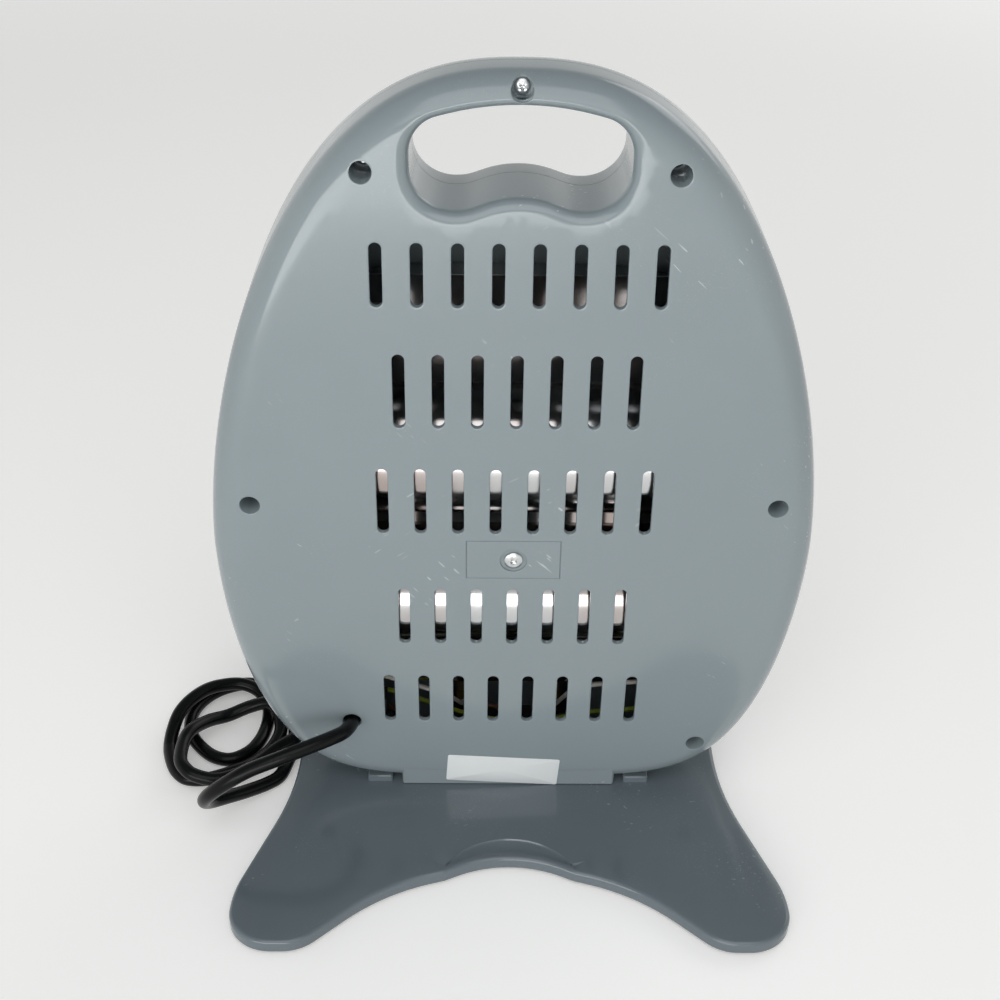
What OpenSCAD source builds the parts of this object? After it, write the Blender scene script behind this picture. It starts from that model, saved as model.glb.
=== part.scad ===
// Portable two-tube quartz heater: an egg-shaped body with a handle hole, parabolic
// reflector troughs behind a wire guard, and a butterfly-shaped base plate.
// X runs across the heater, +Y towards its back, +Z up. The floor is z = 0.

/* [Body] */
// Width of the egg-shaped body at its widest line
body_w = 262; // [254:1:280]
// Height of the body above the base plate
body_h = 348.5; // [342:0.5:370]
// Height of the widest line above the body's bottom
waist_h = 142.5; // [136:0.5:150]
// How far the rear cover reaches behind the middle of the base
rear_depth = 33; // [31:0.5:38]
// How far the front frame reaches before the middle of the base
front_depth = 27.3; // [26:0.1:32]
// Place of the joint between the two shells, from the middle of the base
seam_y = -1; // [-2:0.5:1]
// Width of the open joint line between the two shells
seam_gap = 0.3; // [0.2:0.05:0.6]
// Wall thickness of both shells
wall = 2.5; // [2:0.1:3]
// Radius of the rounded outer edges
edge_r = 12; // [9:0.5:12.5]
// Radius of the crown of the faces, seen from the side
crown_r = 1300; // [1100:10:1800]
// Radius of the crown of the faces, seen from above
side_crown_r = 8500; // [6000:100:12000]
// Height of the middle of the crown above the body's bottom
crown_h = 167.5; // [160:0.5:175]

/* [Handle] */
// Width of the handle hole
handle_w = 85; // [78:1:92]
// Height of the handle hole at its outer ends
handle_h = 39.8; // [37:0.1:41]
// Height of the grip bar over the handle hole
grip_h = 11.7; // [11:0.1:14]
// How far the hole's lower edge rises in the middle
handle_rise = 5.4; // [4:0.1:7]
// Radius of the rolled rim of the handle hole
handle_rim_r = 5; // [3:0.5:6]
// Place of the joint between the two halves of the handle's tunnel
tunnel_seam_y = -6; // [-8:0.5:-4]

/* [Vents] */
// Distance between neighbouring slots of a row
slot_pitch = 16; // [14:0.5:17]
// Width of one slot
slot_w = 5; // [3:0.5:7]
// Slots in the first, third and fifth rows
wide_row_slots = 8; // [6:1:8]
// Slots in the second and fourth rows
narrow_row_slots = 7; // [5:1:7]

/* [Base] */
// Width of the base plate over its feet
base_w = 250; // [240:1:270]
// Depth of the base plate over its feet
base_d = 242.6; // [225:1:260]
// Width of the base plate at its waist
base_waist = 207.4; // [198:1:216]
// Distance between the two arches, front to back
arch_gap = 140.6; // [130:1:150]
// Thickness of the base plate's rim
plate_t = 6; // [5:0.5:8]
// Thickness of the base plate's skin
plate_skin = 2.4; // [2:0.1:3]
// Radius of the rounded corners of the feet
foot_r = 20; // [16:1:22]
// How far the rubber pads hold the plate off the floor
pad_h = 1.5; // [1:0.1:3]
// Diameter of the rubber pads
pad_d = 14; // [10:1:18]

/* [Fastenings] */
// Diameter of the screw wells in the rear cover
well_d = 8.6; // [8:0.1:9]
// How far the upper and lower wells lie inside the body's edge
well_in = 17.3; // [16:0.1:18]
// Diameter of the screw shanks
screw_d = 3; // [2.5:0.1:3.4]
// Diameter of the screw heads
screw_head_d = 6.4; // [5.5:0.1:7]
// Height of the screw heads
screw_head_h = 2.2; // [1.6:0.1:2.8]
// Diameter of the centre screw's head
centre_head_d = 8.2; // [7:0.1:9]

/* [Heating] */
// Width of the parabolic reflector
reflector_w = 182; // [170:1:184]
// Height of the reflector's sheet
reflector_h = 214; // [208:1:218]
// Distance between the two heating tubes
tube_pitch = 72; // [70:0.5:76]
// Half the mouth of one reflector trough
trough_half = 33; // [30:0.5:34]
// Focal length of the reflector troughs
focal_l = 10; // [9.5:0.5:12]
// Thickness of the reflector's sheet
sheet_t = 0.8; // [0.5:0.1:1.2]
// Outer diameter of the quartz tubes
tube_d = 11; // [9:0.5:13]
// Wall thickness of the quartz tubes
tube_wall = 1.2; // [0.8:0.1:1.6]
// How far the quartz tubes reach past the reflector's two sides together
tube_spare = 14; // [12:1:20]
// Turns of each heating coil
coil_turns = 22; // [10:1:24]
// Diameter of the heating wire
coil_wire_d = 1.2; // [0.8:0.1:1.4]
// Outer diameter of the heating coils
coil_d = 7; // [5:0.1:7.4]

/* [Guard] */
// Width of the front opening
mouth_w = 176; // [168:1:180]
// Height of the front opening
mouth_h = 196; // [188:1:200]
// Thickness of the guard's bars
bar_d = 2; // [1.6:0.1:2.6]
// Thickness of the guard's edge wire
rim_wire_d = 3; // [2.4:0.1:4]
// Distance between the guard's bars
bar_pitch = 13; // [10:0.5:16]
// How far the bars bulge before the edge wire
guard_bulge = 8; // [4:0.5:11]

/* [Controls] */
// Distance between the two switches
switch_gap = 46; // [36:1:60]
// Height of the switches above the body's bottom
switch_h = 29; // [27:0.5:30]
// Height of one rocker
rocker_l = 16; // [14:0.5:17]
// Width of one rocker
rocker_w = 10.4; // [8:0.1:11]
// Tilt of a rocker from level to either side
rocker_tilt = 10; // [6:1:12]
// Diameter of the tip-over plunger
plunger_d = 6; // [5:0.5:7]

/* [Cord] */
// Diameter of the power cord
cord_d = 6.8; // [6:0.1:7.2]
// Turns of the stored cord
store_turns = 3.25; // [2.25:1:4.25]

/* [Hidden] */

// Clearances between parts that face each other
fit_gap = 0.2;
slide_gap = 0.05;
// Overlap that lets a cut run clean through a face
cut = 1;
// Steps of the curves
egg_steps = 72;
round_steps = 4;
rim_steps = 3;
arc_step = 9;
rod_sides = 32;
slot_sides = 24;

plate_top = pad_h + plate_t;
// The flat tongue of the rear face, and the vent slots' distance from it and from the handle
apron_half = 51.5;
apron_h = 15;
slots_over_apron = 29.8;
slots_under_hole = 11.5;
body_top = plate_top + body_h;
waist_z = plate_top + waist_h;
crown_z = plate_top + crown_h;

// Bluntness of the egg outline: across and up, for its upper and its lower half
upper_blunt = [2.45, 1.72];
lower_blunt = [5.1, 1.78];

// ---- plain vector help ----
function unit(v) = v / norm(v);
function power_of(v, e) = sign(v) * pow(abs(v), e);
function turned(v, a) = [v[0] * cos(a) - v[1] * sin(a), v[0] * sin(a) + v[1] * cos(a)];
function wrap(a) = a > 180 ? a - 360 : (a < -180 ? a + 360 : a);

// ---- outlines, as lists of [across, up] points running counter-clockwise ----
function egg_point(a) =
    let (b = sin(a) >= 0 ? upper_blunt : lower_blunt)
    let (reach = sin(a) >= 0 ? body_h - waist_h : waist_h)
    [body_w / 2 * power_of(cos(a), 2 / b[0]), waist_z + reach * power_of(sin(a), 2 / b[1])];
egg = [for (i = [0 : egg_steps - 1]) egg_point(360 * i / egg_steps)];
// Half width of the egg at a height
function egg_half(z) =
    let (b = z > waist_z ? upper_blunt : lower_blunt)
    let (reach = z > waist_z ? body_h - waist_h : waist_h)
    body_w / 2 * pow(1 - pow(abs(z - waist_z) / reach, b[1]), 1 / b[0]);

// An outline moved inwards along its own normals
function inset(points, depth) =
    let (n = len(points))
    [for (i = [0 : n - 1])
        let (along = points[(i + 1) % n] - points[(i + n - 1) % n])
        points[i] - depth * unit([along[1], -along[0]])];

// A polygon of [across, up, radius] corners with its corners rounded
function rounded(corners) =
    let (n = len(corners))
    [for (i = [0 : n - 1])
        let (here = [corners[i][0], corners[i][1]])
        let (before = [corners[(i + n - 1) % n][0], corners[(i + n - 1) % n][1]])
        let (after = [corners[(i + 1) % n][0], corners[(i + 1) % n][1]])
        let (back = unit(before - here))
        let (on = unit(after - here))
        let (half = acos(back * on) / 2)
        let (r = corners[i][2])
        let (centre = here + unit(back + on) * r / sin(half))
        let (first = here + back * r / tan(half) - centre)
        let (last = here + on * r / tan(half) - centre)
        let (from = atan2(first[1], first[0]))
        let (sweep = wrap(atan2(last[1], last[0]) - from))
        let (steps = max(1, ceil(abs(sweep) / arc_step)))
        for (k = [0 : steps]) centre + r * [cos(from + sweep * k / steps), sin(from + sweep * k / steps)]];

// Corners mirrored to the other side, in running order
function mirrored(corner) = [-corner[0], corner[1], corner[2]];
function both_sides(corners) = concat(
    corners,
    [for (i = [len(corners) - 1 : -1 : 0]) if (corners[i][0] != 0) mirrored(corners[i])]);

// ---- the handle hole ----
hole_top = body_top - grip_h;
hole_low = hole_top - handle_h;
hole_mid_z = (hole_low + hole_top) / 2;
hole_side = handle_w / 2;
// Radii of the hole's corners, and how far its rounded crest and top stay off their corners
hole_crest_r = 40;
hole_foot_r = 18;
hole_low_r = 17;
hole_high_r = 14;
hole_top_r = 114;
crest_off = 2.6;
top_off = 3.8;
shoulder_drop = 7.2;
hole_outline = rounded(both_sides([
    [0, hole_low + handle_rise + crest_off, hole_crest_r],
    [hole_side / 2, hole_low, hole_foot_r],
    [hole_side, hole_low, hole_low_r],
    [hole_side, hole_top - shoulder_drop, hole_high_r],
    [0, hole_top + top_off, hole_top_r]]));

// ---- the crowned faces ----
function rear_face(p) =
    rear_depth - pow(p[1] - crown_z, 2) / (2 * crown_r) - p[0] * p[0] / (2 * side_crown_r);
function front_face(p) =
    pow(p[1] - crown_z, 2) / (2 * crown_r) + p[0] * p[0] / (2 * side_crown_r) - front_depth;

// A stack of rings of [x, y, z] points as one closed solid; each end is closed flat, or
// towards a tip where one is given
module ring_stack(rings, low_tip = [], high_tip = []) {
    sides = len(rings[0]);
    last = (len(rings) - 1) * sides;
    count = len(rings) * sides;
    high_spike = count + (low_tip == [] ? 0 : 1);
    walls = [for (j = [0 : len(rings) - 2]) for (k = [0 : sides - 1])
        let (a = j * sides + k)
        let (b = j * sides + (k + 1) % sides)
        each [[a, a + sides, b], [b, a + sides, b + sides]]];
    low = low_tip == []
        ? [[for (k = [0 : sides - 1]) k]]
        : [for (k = [0 : sides - 1]) [count, k, (k + 1) % sides]];
    high = high_tip == []
        ? [[for (k = [sides - 1 : -1 : 0]) last + k]]
        : [for (k = [0 : sides - 1]) [high_spike, last + (k + 1) % sides, last + k]];
    tips = [for (tip = [low_tip, high_tip]) if (tip != []) tip];
    polyhedron(points = concat([for (ring = rings) each ring], tips), faces = concat(low, walls, high));
}

// One shell half as a solid: side is 1 for the rear and -1 for the front, skin how far
// inside the outer surface it lies, and start where its open end stands
face_shares = [0.72, 0.45, 0.2];
function shell_face(p, side, skin) =
    side > 0 ? rear_face(p) - skin : front_face(p) + skin;
function shell_ring(depth, drop, side, skin) =
    [for (p = inset(egg, skin + depth)) [p[0], shell_face(p, side, skin) - side * drop, p[1]]];
function shell_rings(side, skin, start) =
    let (r = edge_r - skin)
    let (rim = inset(egg, skin + r))
    concat(
        [[for (p = inset(egg, skin)) [p[0], start, p[1]]]],
        [for (k = [0 : round_steps])
            shell_ring(r * (1 - cos(90 * k / round_steps)), r * (1 - sin(90 * k / round_steps)), side, skin)],
        [for (s = face_shares) [for (q = rim)
            let (p = [q[0] * s, crown_z + (q[1] - crown_z) * s])
            [p[0], shell_face(p, side, skin), p[1]]]]);
function reversed(rings) = [for (i = [len(rings) - 1 : -1 : 0]) rings[i]];
module shell_solid(side, skin, start) {
    rings = shell_rings(side, skin, start);
    middle = [0, shell_face([0, crown_z], side, skin), crown_z];
    if (side > 0) ring_stack(reversed(rings), low_tip = middle);
    else ring_stack(rings, high_tip = middle);
}

// The handle's tunnel as a solid that widens into the face: grow is how far outside the
// hole it lies, start where its inner end stands
function tunnel_ring(grow, p_face, side, drop) =
    [for (p = inset(hole_outline, -grow)) [p[0], p_face(p) - side * drop, p[1]]];
module tunnel_solid(side, grow, start) {
    r = handle_rim_r - grow;
    face_of = side > 0 ? function (p) rear_face(p) - grow : function (p) front_face(p) + grow;
    rings = concat(
        [[for (p = inset(hole_outline, -grow)) [p[0], start, p[1]]]],
        [for (k = [0 : rim_steps])
            let (a = 90 * k / rim_steps)
            tunnel_ring(grow + r * (1 - cos(a)), face_of, side, r * (1 - sin(a)))],
        [[for (p = inset(hole_outline, -grow - r)) [p[0], side * (rear_depth + cut), p[1]]]]);
    ring_stack(side > 0 ? reversed(rings) : rings);
}

// ---- plain solids laid along an axis ----
module across_y(y0, y1) {
    translate([0, y1, 0]) rotate([90, 0, 0]) linear_extrude(height = y1 - y0) children();
}
module rod_y(x, z, y0, y1, d) {
    translate([x, y1, z]) rotate([90, 0, 0]) cylinder(h = y1 - y0, d = d, $fn = rod_sides);
}
module rod_x(y, z, x0, x1, d) {
    translate([x0, y, z]) rotate([0, 90, 0]) cylinder(h = x1 - x0, d = d, $fn = rod_sides);
}
module rod_z(x, y, z0, z1, d) {
    translate([x, y, z0]) cylinder(h = z1 - z0, d = d, $fn = rod_sides);
}
module box(low, high) {
    translate(low) cube(high - low);
}
// A box on side s of the middle, from near to far across, its other corners as [y, z]
module span(s, near, far, low, high) {
    box([min(s * near, s * far), low[0], low[1]], [max(s * near, s * far), high[0], high[1]]);
}
// A rod along X on side s of the middle
module side_rod(s, y, z, near, far, d) {
    rod_x(y, z, min(s * near, s * far), max(s * near, s * far), d);
}
// A pan head screw on an axis along Y; its head faces side
module screw_y(x, z, y_seat, length, side, head_d, head_h, shank_d) {
    tip = y_seat - side * length;
    rod_y(x, z, min(y_seat, tip), max(y_seat, tip), shank_d);
    difference() {
        rod_y(x, z, min(y_seat, y_seat + side * head_h), max(y_seat, y_seat + side * head_h), head_d);
        recess(x, y_seat + side * head_h, z, head_d);
    }
}
// The cross recess of a screw head that faces along Y, as shares of the head
recess_reach = 0.3;
recess_depth = 0.45;
recess_blade = 0.06;
module recess(x, y, z, head_d) {
    arm = head_d * recess_reach;
    deep = screw_head_h * recess_depth;
    blade = head_d * recess_blade;
    box([x - arm, y - deep, z - blade], [x + arm, y + deep, z + blade]);
    box([x - blade, y - deep, z - arm], [x + blade, y + deep, z + arm]);
}

// ---- rows of vent slots between the apron and the handle hole ----
slots_low = plate_top + apron_h + slots_over_apron;
slots_high = hole_low - slots_under_hole;
// Slots in the row, then its lower and upper end as shares of the slots' field
slot_rows = [
    [wide_row_slots, 0.8912, 1],
    [narrow_row_slots, 0.671, 0.8076],
    [wide_row_slots, 0.4566, 0.5891],
    [narrow_row_slots, 0.2036, 0.3332],
    [wide_row_slots, 0, 0.1205]];
function field_z(share) = slots_low + (slots_high - slots_low) * share;
module slot_outline(x, low, high) {
    translate([x - slot_w / 2, low + slot_w / 2]) square([slot_w, high - low - slot_w]);
    translate([x, low + slot_w / 2]) circle(d = slot_w, $fn = slot_sides);
    translate([x, high - slot_w / 2]) circle(d = slot_w, $fn = slot_sides);
}
module all_slots() {
    across_y(rear_depth - edge_r, rear_depth + cut)
        for (row = slot_rows)
            for (i = [0 : row[0] - 1])
                slot_outline((i - (row[0] - 1) / 2) * slot_pitch, field_z(row[1]), field_z(row[2]));
}

// ---- screws ----
well_floor_y = seam_y + 7;
well_wall = 1.6;
well_ring_d = well_d + 2 * well_wall;
well_floor_t = 2.5;
boss_d = 7;
screw_l = 14;
short_screw_l = 8;
pilot_d = screw_d + 2 * slide_gap;
shank_hole_d = screw_d + 2 * fit_gap;
// The centre screw, its sunk seat and its boss
centre_drop = 1.8;
centre_z = waist_z - centre_drop;
centre_shank_d = 4;
centre_head_h = 1.8;
centre_boss_d = centre_shank_d + 5;
centre_boss_gap = 4;
centre_seat_d = centre_head_d + 3.4;
centre_seat_y = rear_depth - 1.2;
centre_nut_d = 9;
centre_nut_t = 3;
small_head_d = screw_head_d - 0.8;

// ---- reflector and tubes ----
tube_mid_z = centre_z;
upper_z = tube_mid_z + tube_pitch / 2;
lower_z = tube_mid_z - tube_pitch / 2;
// The sheet's troughs stop short of the rear cover
trough_back_gap = 5;
apex_y = rear_depth - wall - trough_back_gap;
sheet_y = apex_y - sheet_t - trough_half * trough_half / (4 * focal_l);
tube_y = apex_y - sheet_t - focal_l;
// The sheet stands clear over the switches' tabs
sheet_over_switch = 16.5;
sheet_low = plate_top + switch_h + sheet_over_switch;
sheet_top = sheet_low + reflector_h;
trough_steps = 14;
// The trough's front line, then the whole sheet's front line from low to high
function trough_line(z) = [for (i = [0 : 2 * trough_steps])
    let (s = trough_half * (i / trough_steps - 1))
    [apex_y - sheet_t - s * s / (4 * focal_l), z + s]];
sheet_front = concat(
    [[sheet_y, sheet_low]], trough_line(lower_z), trough_line(upper_z), [[sheet_y, sheet_top]]);
// The same line moved back by the sheet's thickness
function moved_back(line, t) =
    let (n = len(line))
    [for (i = [0 : n - 1])
        let (along = line[min(i + 1, n - 1)] - line[max(i - 1, 0)])
        line[i] + t * unit([along[1], -along[0]])];

// ---- front opening ----
mouth_rise = 15.8;
mouth_z = centre_z + mouth_rise;
mouth_blunt = 5;
mouth_steps = 56;
function mouth(grow) = [for (i = [0 : mouth_steps - 1])
    let (a = 360 * i / mouth_steps)
    [(mouth_w / 2 + grow) * power_of(cos(a), 2 / mouth_blunt),
     mouth_z + (mouth_h / 2 + grow) * power_of(sin(a), 2 / mouth_blunt)]];
// Half width of the opening at a height, grown by so much
function mouth_half(z, grow) =
    (mouth_w / 2 + grow)
    * pow(1 - pow(abs(z - mouth_z) / (mouth_h / 2 + grow), mouth_blunt), 1 / mouth_blunt);
skirt_t = 2;
// The opening's skirt stops short of the reflector by so much
skirt_gap = 1.6;

// ---- brackets and their screws ----
bracket_gap = 4;
bracket_x = reflector_w / 2 + bracket_gap;
bracket_t = 1;
bracket_back = 10;
bracket_flange = 11;
bracket_flange_h = 38;
bracket_screw_x = bracket_x + bracket_t + bracket_flange / 2;
bracket_screw_gap = 24;
bracket_screw_z = [tube_mid_z - bracket_screw_gap / 2, tube_mid_z + bracket_screw_gap / 2];
bracket_margin = 12;
sheet_screw_in = 6;
sheet_screw_x = reflector_w / 2 - sheet_screw_in;
sheet_screw_z = [sheet_low + sheet_screw_in, sheet_top - sheet_screw_in];
tube_l = reflector_w + tube_spare;
end_cap_d = tube_d + 5;
end_cap_in = 5;
end_cap_x = tube_l / 2 - end_cap_in;
end_cap_l = 10;
pin_d = 2;
pin_out = 4;

// ---- switches ----
switch_z = plate_top + switch_h;
console_side = 18;
console_w = switch_gap + 2 * console_side;
console_h = 34;
console_r = 8;
console_stand = 0.6;
console_y = front_face([0, switch_z + console_h / 2]) - console_stand;
console_deep = 6;
bezel_w = rocker_w + 5;
bezel_h = rocker_l + 6;
bezel_t = 1.6;
housing_deep = 13;
housing_floor = 4;
housing_wall = 1.1;
housing_w = rocker_w + 2 * (slide_gap + fit_gap + housing_wall);
pivot_y = console_y + 0.6;
// A rocker's ends before its pivot, its dished middle, and its sides and back behind it
rocker_reach = 3.2;
rocker_dip = 2.2;
rocker_side = 1.2;
rocker_back = 4.2;
rocker_pin_d = 2.4;
rocker_play = 0.35;
rocker_swing = norm([rocker_l / 2, rocker_reach]) + rocker_play;
housing_h = 2 * rocker_swing + 2 * housing_wall;
tab_w = 4.8;
tab_t = 0.8;
tab_l = 7;
tab_z = 4;

// ---- tip-over switch ----
tip_y = rear_depth - 24;
tip_travel = 4.5;
tip_w = 22;
tip_d = 14;
tip_base_z = plate_top + wall + 4;
tip_collar_z = tip_base_z + 12;
tip_collar_t = 2;
tip_chamber_top = tip_collar_z + 12;
tip_roof = 3;
tip_top = tip_chamber_top + tip_roof;
tip_collar_d = plunger_d + 3;
tip_stop_gap = 0.4;
tip_ear = 8;
tip_ear_t = 2;
tip_post_x = tip_w / 2 + tip_ear / 2;

// ---- base ----
half_w = base_w / 2;
half_d = base_d / 2;
half_waist = base_waist / 2;
arch_y = arch_gap / 2;
// Outline of one quarter of the base plate, from its waist to the middle of the arch:
// waist, flank, foot, inner end of the foot, shoulder, foot of the crest and the arch
base_quarter = [
    [half_waist, 26, 150],
    [half_w, half_d - 30, 55],
    [half_w, half_d, foot_r],
    [half_w - 33, half_d, foot_r],
    [56.6, arch_y + 17.3, 95],
    [30, arch_y + 9.8, 4],
    [0, arch_y - 5.2, 54]];
base_half = both_sides(base_quarter);
base_outline = rounded(concat(base_half, [for (c = base_half) [-c[0], -c[1], c[2]]]));
plate_round = 2;
plate_round_steps = 2;
plate_rim_t = 2.4;
plate_rib_t = 1.6;
plate_boss_d = 12;
step_r = 34;
step_y = arch_y + 23;
step_deep = 1;
pad_in = 1;
pad_ring = 1.5;
plunger_hole_d = plunger_d + 4 * fit_gap;
plunger_ring = 3;
pad_places = [for (sx = [-1, 1]) for (sy = [-1, 1]) [sx * (half_w - foot_r), sy * (half_d - foot_r)]];
base_screw_x = 44;
base_screw_y = [seam_y - 7, seam_y + 8];
base_screw_l = 16;
base_screw_end = plate_top + base_screw_l - 2;
base_boss_d = boss_d + 1;
head_sink = 0.5;
base_seat_z = pad_h + head_sink + screw_head_h;
lug_x = [56.5, 68.5];
lug_y = [rear_depth - 24, rear_depth - 12.5];
lug_h = 3.6;
lug_root = 0.5;

// ---- cord ----
cord_x = 74.3;
cord_z = plate_top + 44;
cord_hole_d = cord_d + 1.4;
cord_hole_bevel = 2;
cord_exit_y = rear_face([cord_x, cord_z]);
grip_y = [cord_exit_y - 17, cord_exit_y - 8];
grip_half = 16;
grip_half_h = 7;
grip_screw_x = grip_half - 4;
grip_screw_l = 15;
tail_end_y = grip_y[0] - 3;
tail_out_y = cord_exit_y - 3;
cord_sides = 8;

// ---- screw wells of the rear cover ----
// The crown screw sits in the grip bar, the upper wells beside the hole, the middle ones
// outside the tubes' end caps, and the lower ones under the cord grip
crown_well_up = 0.2;
crown_well_deep = 8.2;
crown_well_z = body_top - grip_h / 2 + crown_well_up;
crown_floor_y = rear_face([0, crown_well_z]) - crown_well_deep;
upper_well_drop = 4.4;
middle_well_up = 25.5;
cap_clear = 3.4;
grip_clear = 1.1;
upper_well_z = hole_mid_z - upper_well_drop;
middle_well_z = waist_z + middle_well_up;
middle_well_x = end_cap_x + end_cap_l + cap_clear + well_ring_d / 2;
lower_well_z = cord_z - grip_half_h - grip_clear - well_ring_d / 2;
wells = [
    [0, crown_well_z, crown_floor_y],
    for (s = [-1, 1]) each [
        [s * (egg_half(upper_well_z) - well_in), upper_well_z, well_floor_y],
        [s * middle_well_x, middle_well_z, well_floor_y],
        [s * (egg_half(lower_well_z) - well_in), lower_well_z, well_floor_y]]];

// ================= sub-parts =================

module rear_bosses() {
    for (w = wells)
        rod_y(w[0], w[1], w[2] - well_floor_t, rear_depth, well_ring_d);
    rod_y(0, centre_z, sheet_y + sheet_t + centre_boss_gap, rear_depth, centre_boss_d);
    rod_z(block_mid[0], block_mid[1], plate_top, block_z[0], boss_d);
    for (s = [-1, 1]) {
        rod_z(s * base_screw_x, base_screw_y[1], plate_top, plate_top + base_screw_l, base_boss_d);
        rod_z(s * tip_post_x, tip_y, plate_top, tip_base_z, boss_d);
        rod_y(cord_x + s * grip_screw_x, cord_z, grip_y[1], rear_depth, boss_d);
    }
}

module rear_cover() {
    color("#8c989c") difference() {
        union() {
            shell_solid(1, 0, seam_y + seam_gap / 2);
            apron();
        }
        difference() {
            shell_solid(1, wall, seam_y - cut);
            tunnel_solid(1, wall, tunnel_seam_y - cut);
            rear_bosses();
        }
        tunnel_solid(1, 0, tunnel_seam_y - 2 * cut);
        all_slots();
        for (w = wells) {
            rod_y(w[0], w[1], w[2], rear_depth + cut, well_d);
            rod_y(w[0], w[1], seam_y, rear_depth, shank_hole_d);
        }
        rod_y(cord_x, cord_z, seam_y, rear_depth + cut, cord_hole_d);
        translate([cord_x, cord_exit_y + cord_hole_bevel / 2, cord_z]) rotate([90, 0, 0])
            cylinder(h = cord_hole_bevel, d1 = cord_hole_d + 2 * cord_hole_bevel, d2 = cord_hole_d,
                     $fn = rod_sides);
        rod_y(0, centre_z, sheet_y, rear_depth + cut, centre_shank_d + 2 * fit_gap);
        rod_y(0, centre_z, centre_seat_y, rear_depth + cut, centre_seat_d);
        for (s = [-1, 1]) {
            rod_z(s * base_screw_x, base_screw_y[1], plate_top - cut, base_screw_end, pilot_d);
            rod_z(s * tip_post_x, tip_y, plate_top + wall, tip_base_z + cut, pilot_d);
            rod_y(cord_x + s * grip_screw_x, cord_z, grip_y[1] - cut, grip_y[1] + short_screw_l, pilot_d);
            span(s, lug_x[0] - fit_gap, lug_x[1] + fit_gap,
                 [lug_y[0] - fit_gap, plate_top - cut], [lug_y[1] + 2 * cut, plate_top + lug_h + fit_gap]);
        }
        rod_z(0, tip_y, plate_top - cut, plate_top + wall + cut, plunger_hole_d);
        rod_z(block_mid[0], block_mid[1], plate_top + 1, block_z[0] + cut, block_screw_d + 2 * slide_gap);
    }
    color("#8c989c") tunnel_end();
}

// The part of the handle's tunnel that reaches past the main joint
module tunnel_end() {
    across_y(tunnel_seam_y + seam_gap / 2, seam_y + seam_gap)
        difference() {
            polygon(inset(hole_outline, -wall));
            polygon(hole_outline);
        }
}

// The flat tongue that carries the rear face down to the base plate
apron_sink = 0.1;
apron_foot = 0.5;
apron_root_y = seam_y + 2;
module apron() {
    low_y = rear_face([apron_half, plate_top]) - apron_sink;
    high_y = rear_face([apron_half, plate_top + apron_h]) - apron_sink;
    translate([-apron_half, 0, 0]) rotate([90, 0, 90]) linear_extrude(height = 2 * apron_half)
        polygon([[apron_root_y, plate_top + apron_foot], [low_y, plate_top + apron_foot],
                 [high_y, plate_top + apron_h], [apron_root_y, plate_top + apron_h]]);
}

module front_bosses() {
    for (w = wells)
        rod_y(w[0], w[1], -front_depth, w[2] - well_floor_t, boss_d);
    for (s = [-1, 1]) {
        for (z = sheet_screw_z) rod_y(s * sheet_screw_x, z, -front_depth, sheet_y, boss_d);
        for (z = bracket_screw_z) rod_y(s * bracket_screw_x, z, -front_depth, sheet_y, boss_d);
        rod_z(s * base_screw_x, base_screw_y[0], plate_top, plate_top + base_screw_l, base_boss_d);
    }
}

// How far a hollow runs past the joint of the shells
past_seam = 5;
module front_frame() {
    color("#8c989c") difference() {
        union() {
            shell_solid(-1, 0, seam_y - seam_gap / 2);
            console();
            lip();
            difference() {
                for (w = wells) rod_y(w[0], w[1], seam_y - lip_h, w[2] - well_floor_t, boss_d);
                across_y(-front_depth, rear_depth)
                    difference() {
                        square(3 * body_h, center = true);
                        polygon(inset(egg, wall + fit_gap));
                    }
            }
        }
        difference() {
            union() {
                shell_solid(-1, wall, seam_y + past_seam);
                across_y(console_y + wall, seam_y) console_outline(-wall);
            }
            tunnel_solid(-1, wall, seam_y);
            front_bosses();
            lip();
            across_y(-front_depth, sheet_y - skirt_gap) polygon(mouth(skirt_t));
        }
        tunnel_solid(-1, 0, seam_y + cut);
        across_y(tunnel_seam_y - seam_gap / 2, rear_depth) polygon(inset(hole_outline, -wall - fit_gap));
        across_y(-front_depth - 2 * cut, rear_depth) polygon(mouth(0));
        for (w = wells) rod_y(w[0], w[1], w[2] - screw_l - cut, rear_depth, pilot_d);
        for (s = [-1, 1]) {
            for (z = sheet_screw_z)
                rod_y(s * sheet_screw_x, z, sheet_y - short_screw_l - 2, sheet_y + cut, pilot_d);
            for (z = bracket_screw_z)
                rod_y(s * bracket_screw_x, z, sheet_y - short_screw_l - 2, sheet_y + cut, pilot_d);
            rod_z(s * base_screw_x, base_screw_y[0], plate_top - cut, base_screw_end, pilot_d);
            span(s, (switch_gap - housing_w) / 2 - fit_gap, (switch_gap + housing_w) / 2 + fit_gap,
                 [-front_depth - past_seam, switch_z - housing_h / 2 - fit_gap],
                 [seam_y, switch_z + housing_h / 2 + fit_gap]);
        }
    }
}

// The tongue of the front frame that centres the rear cover
lip_h = 3;
lip_t = 1.4;
module lip() {
    across_y(seam_y - lip_h, seam_y + lip_h) difference() {
        polygon(inset(egg, wall + fit_gap));
        polygon(inset(egg, wall + fit_gap + lip_t));
        polygon(inset(hole_outline, -wall - fit_gap));
    }
}

// The flat panel that carries the two switches
module console_outline(grow) {
    w = console_w / 2 + grow;
    h = console_h / 2 + grow;
    translate([0, switch_z])
        polygon(rounded([[w, -h, console_r], [w, h, console_r], [-w, h, console_r], [-w, -h, console_r]]));
}
module console() {
    across_y(console_y, console_y + console_deep) console_outline(0);
}

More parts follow.
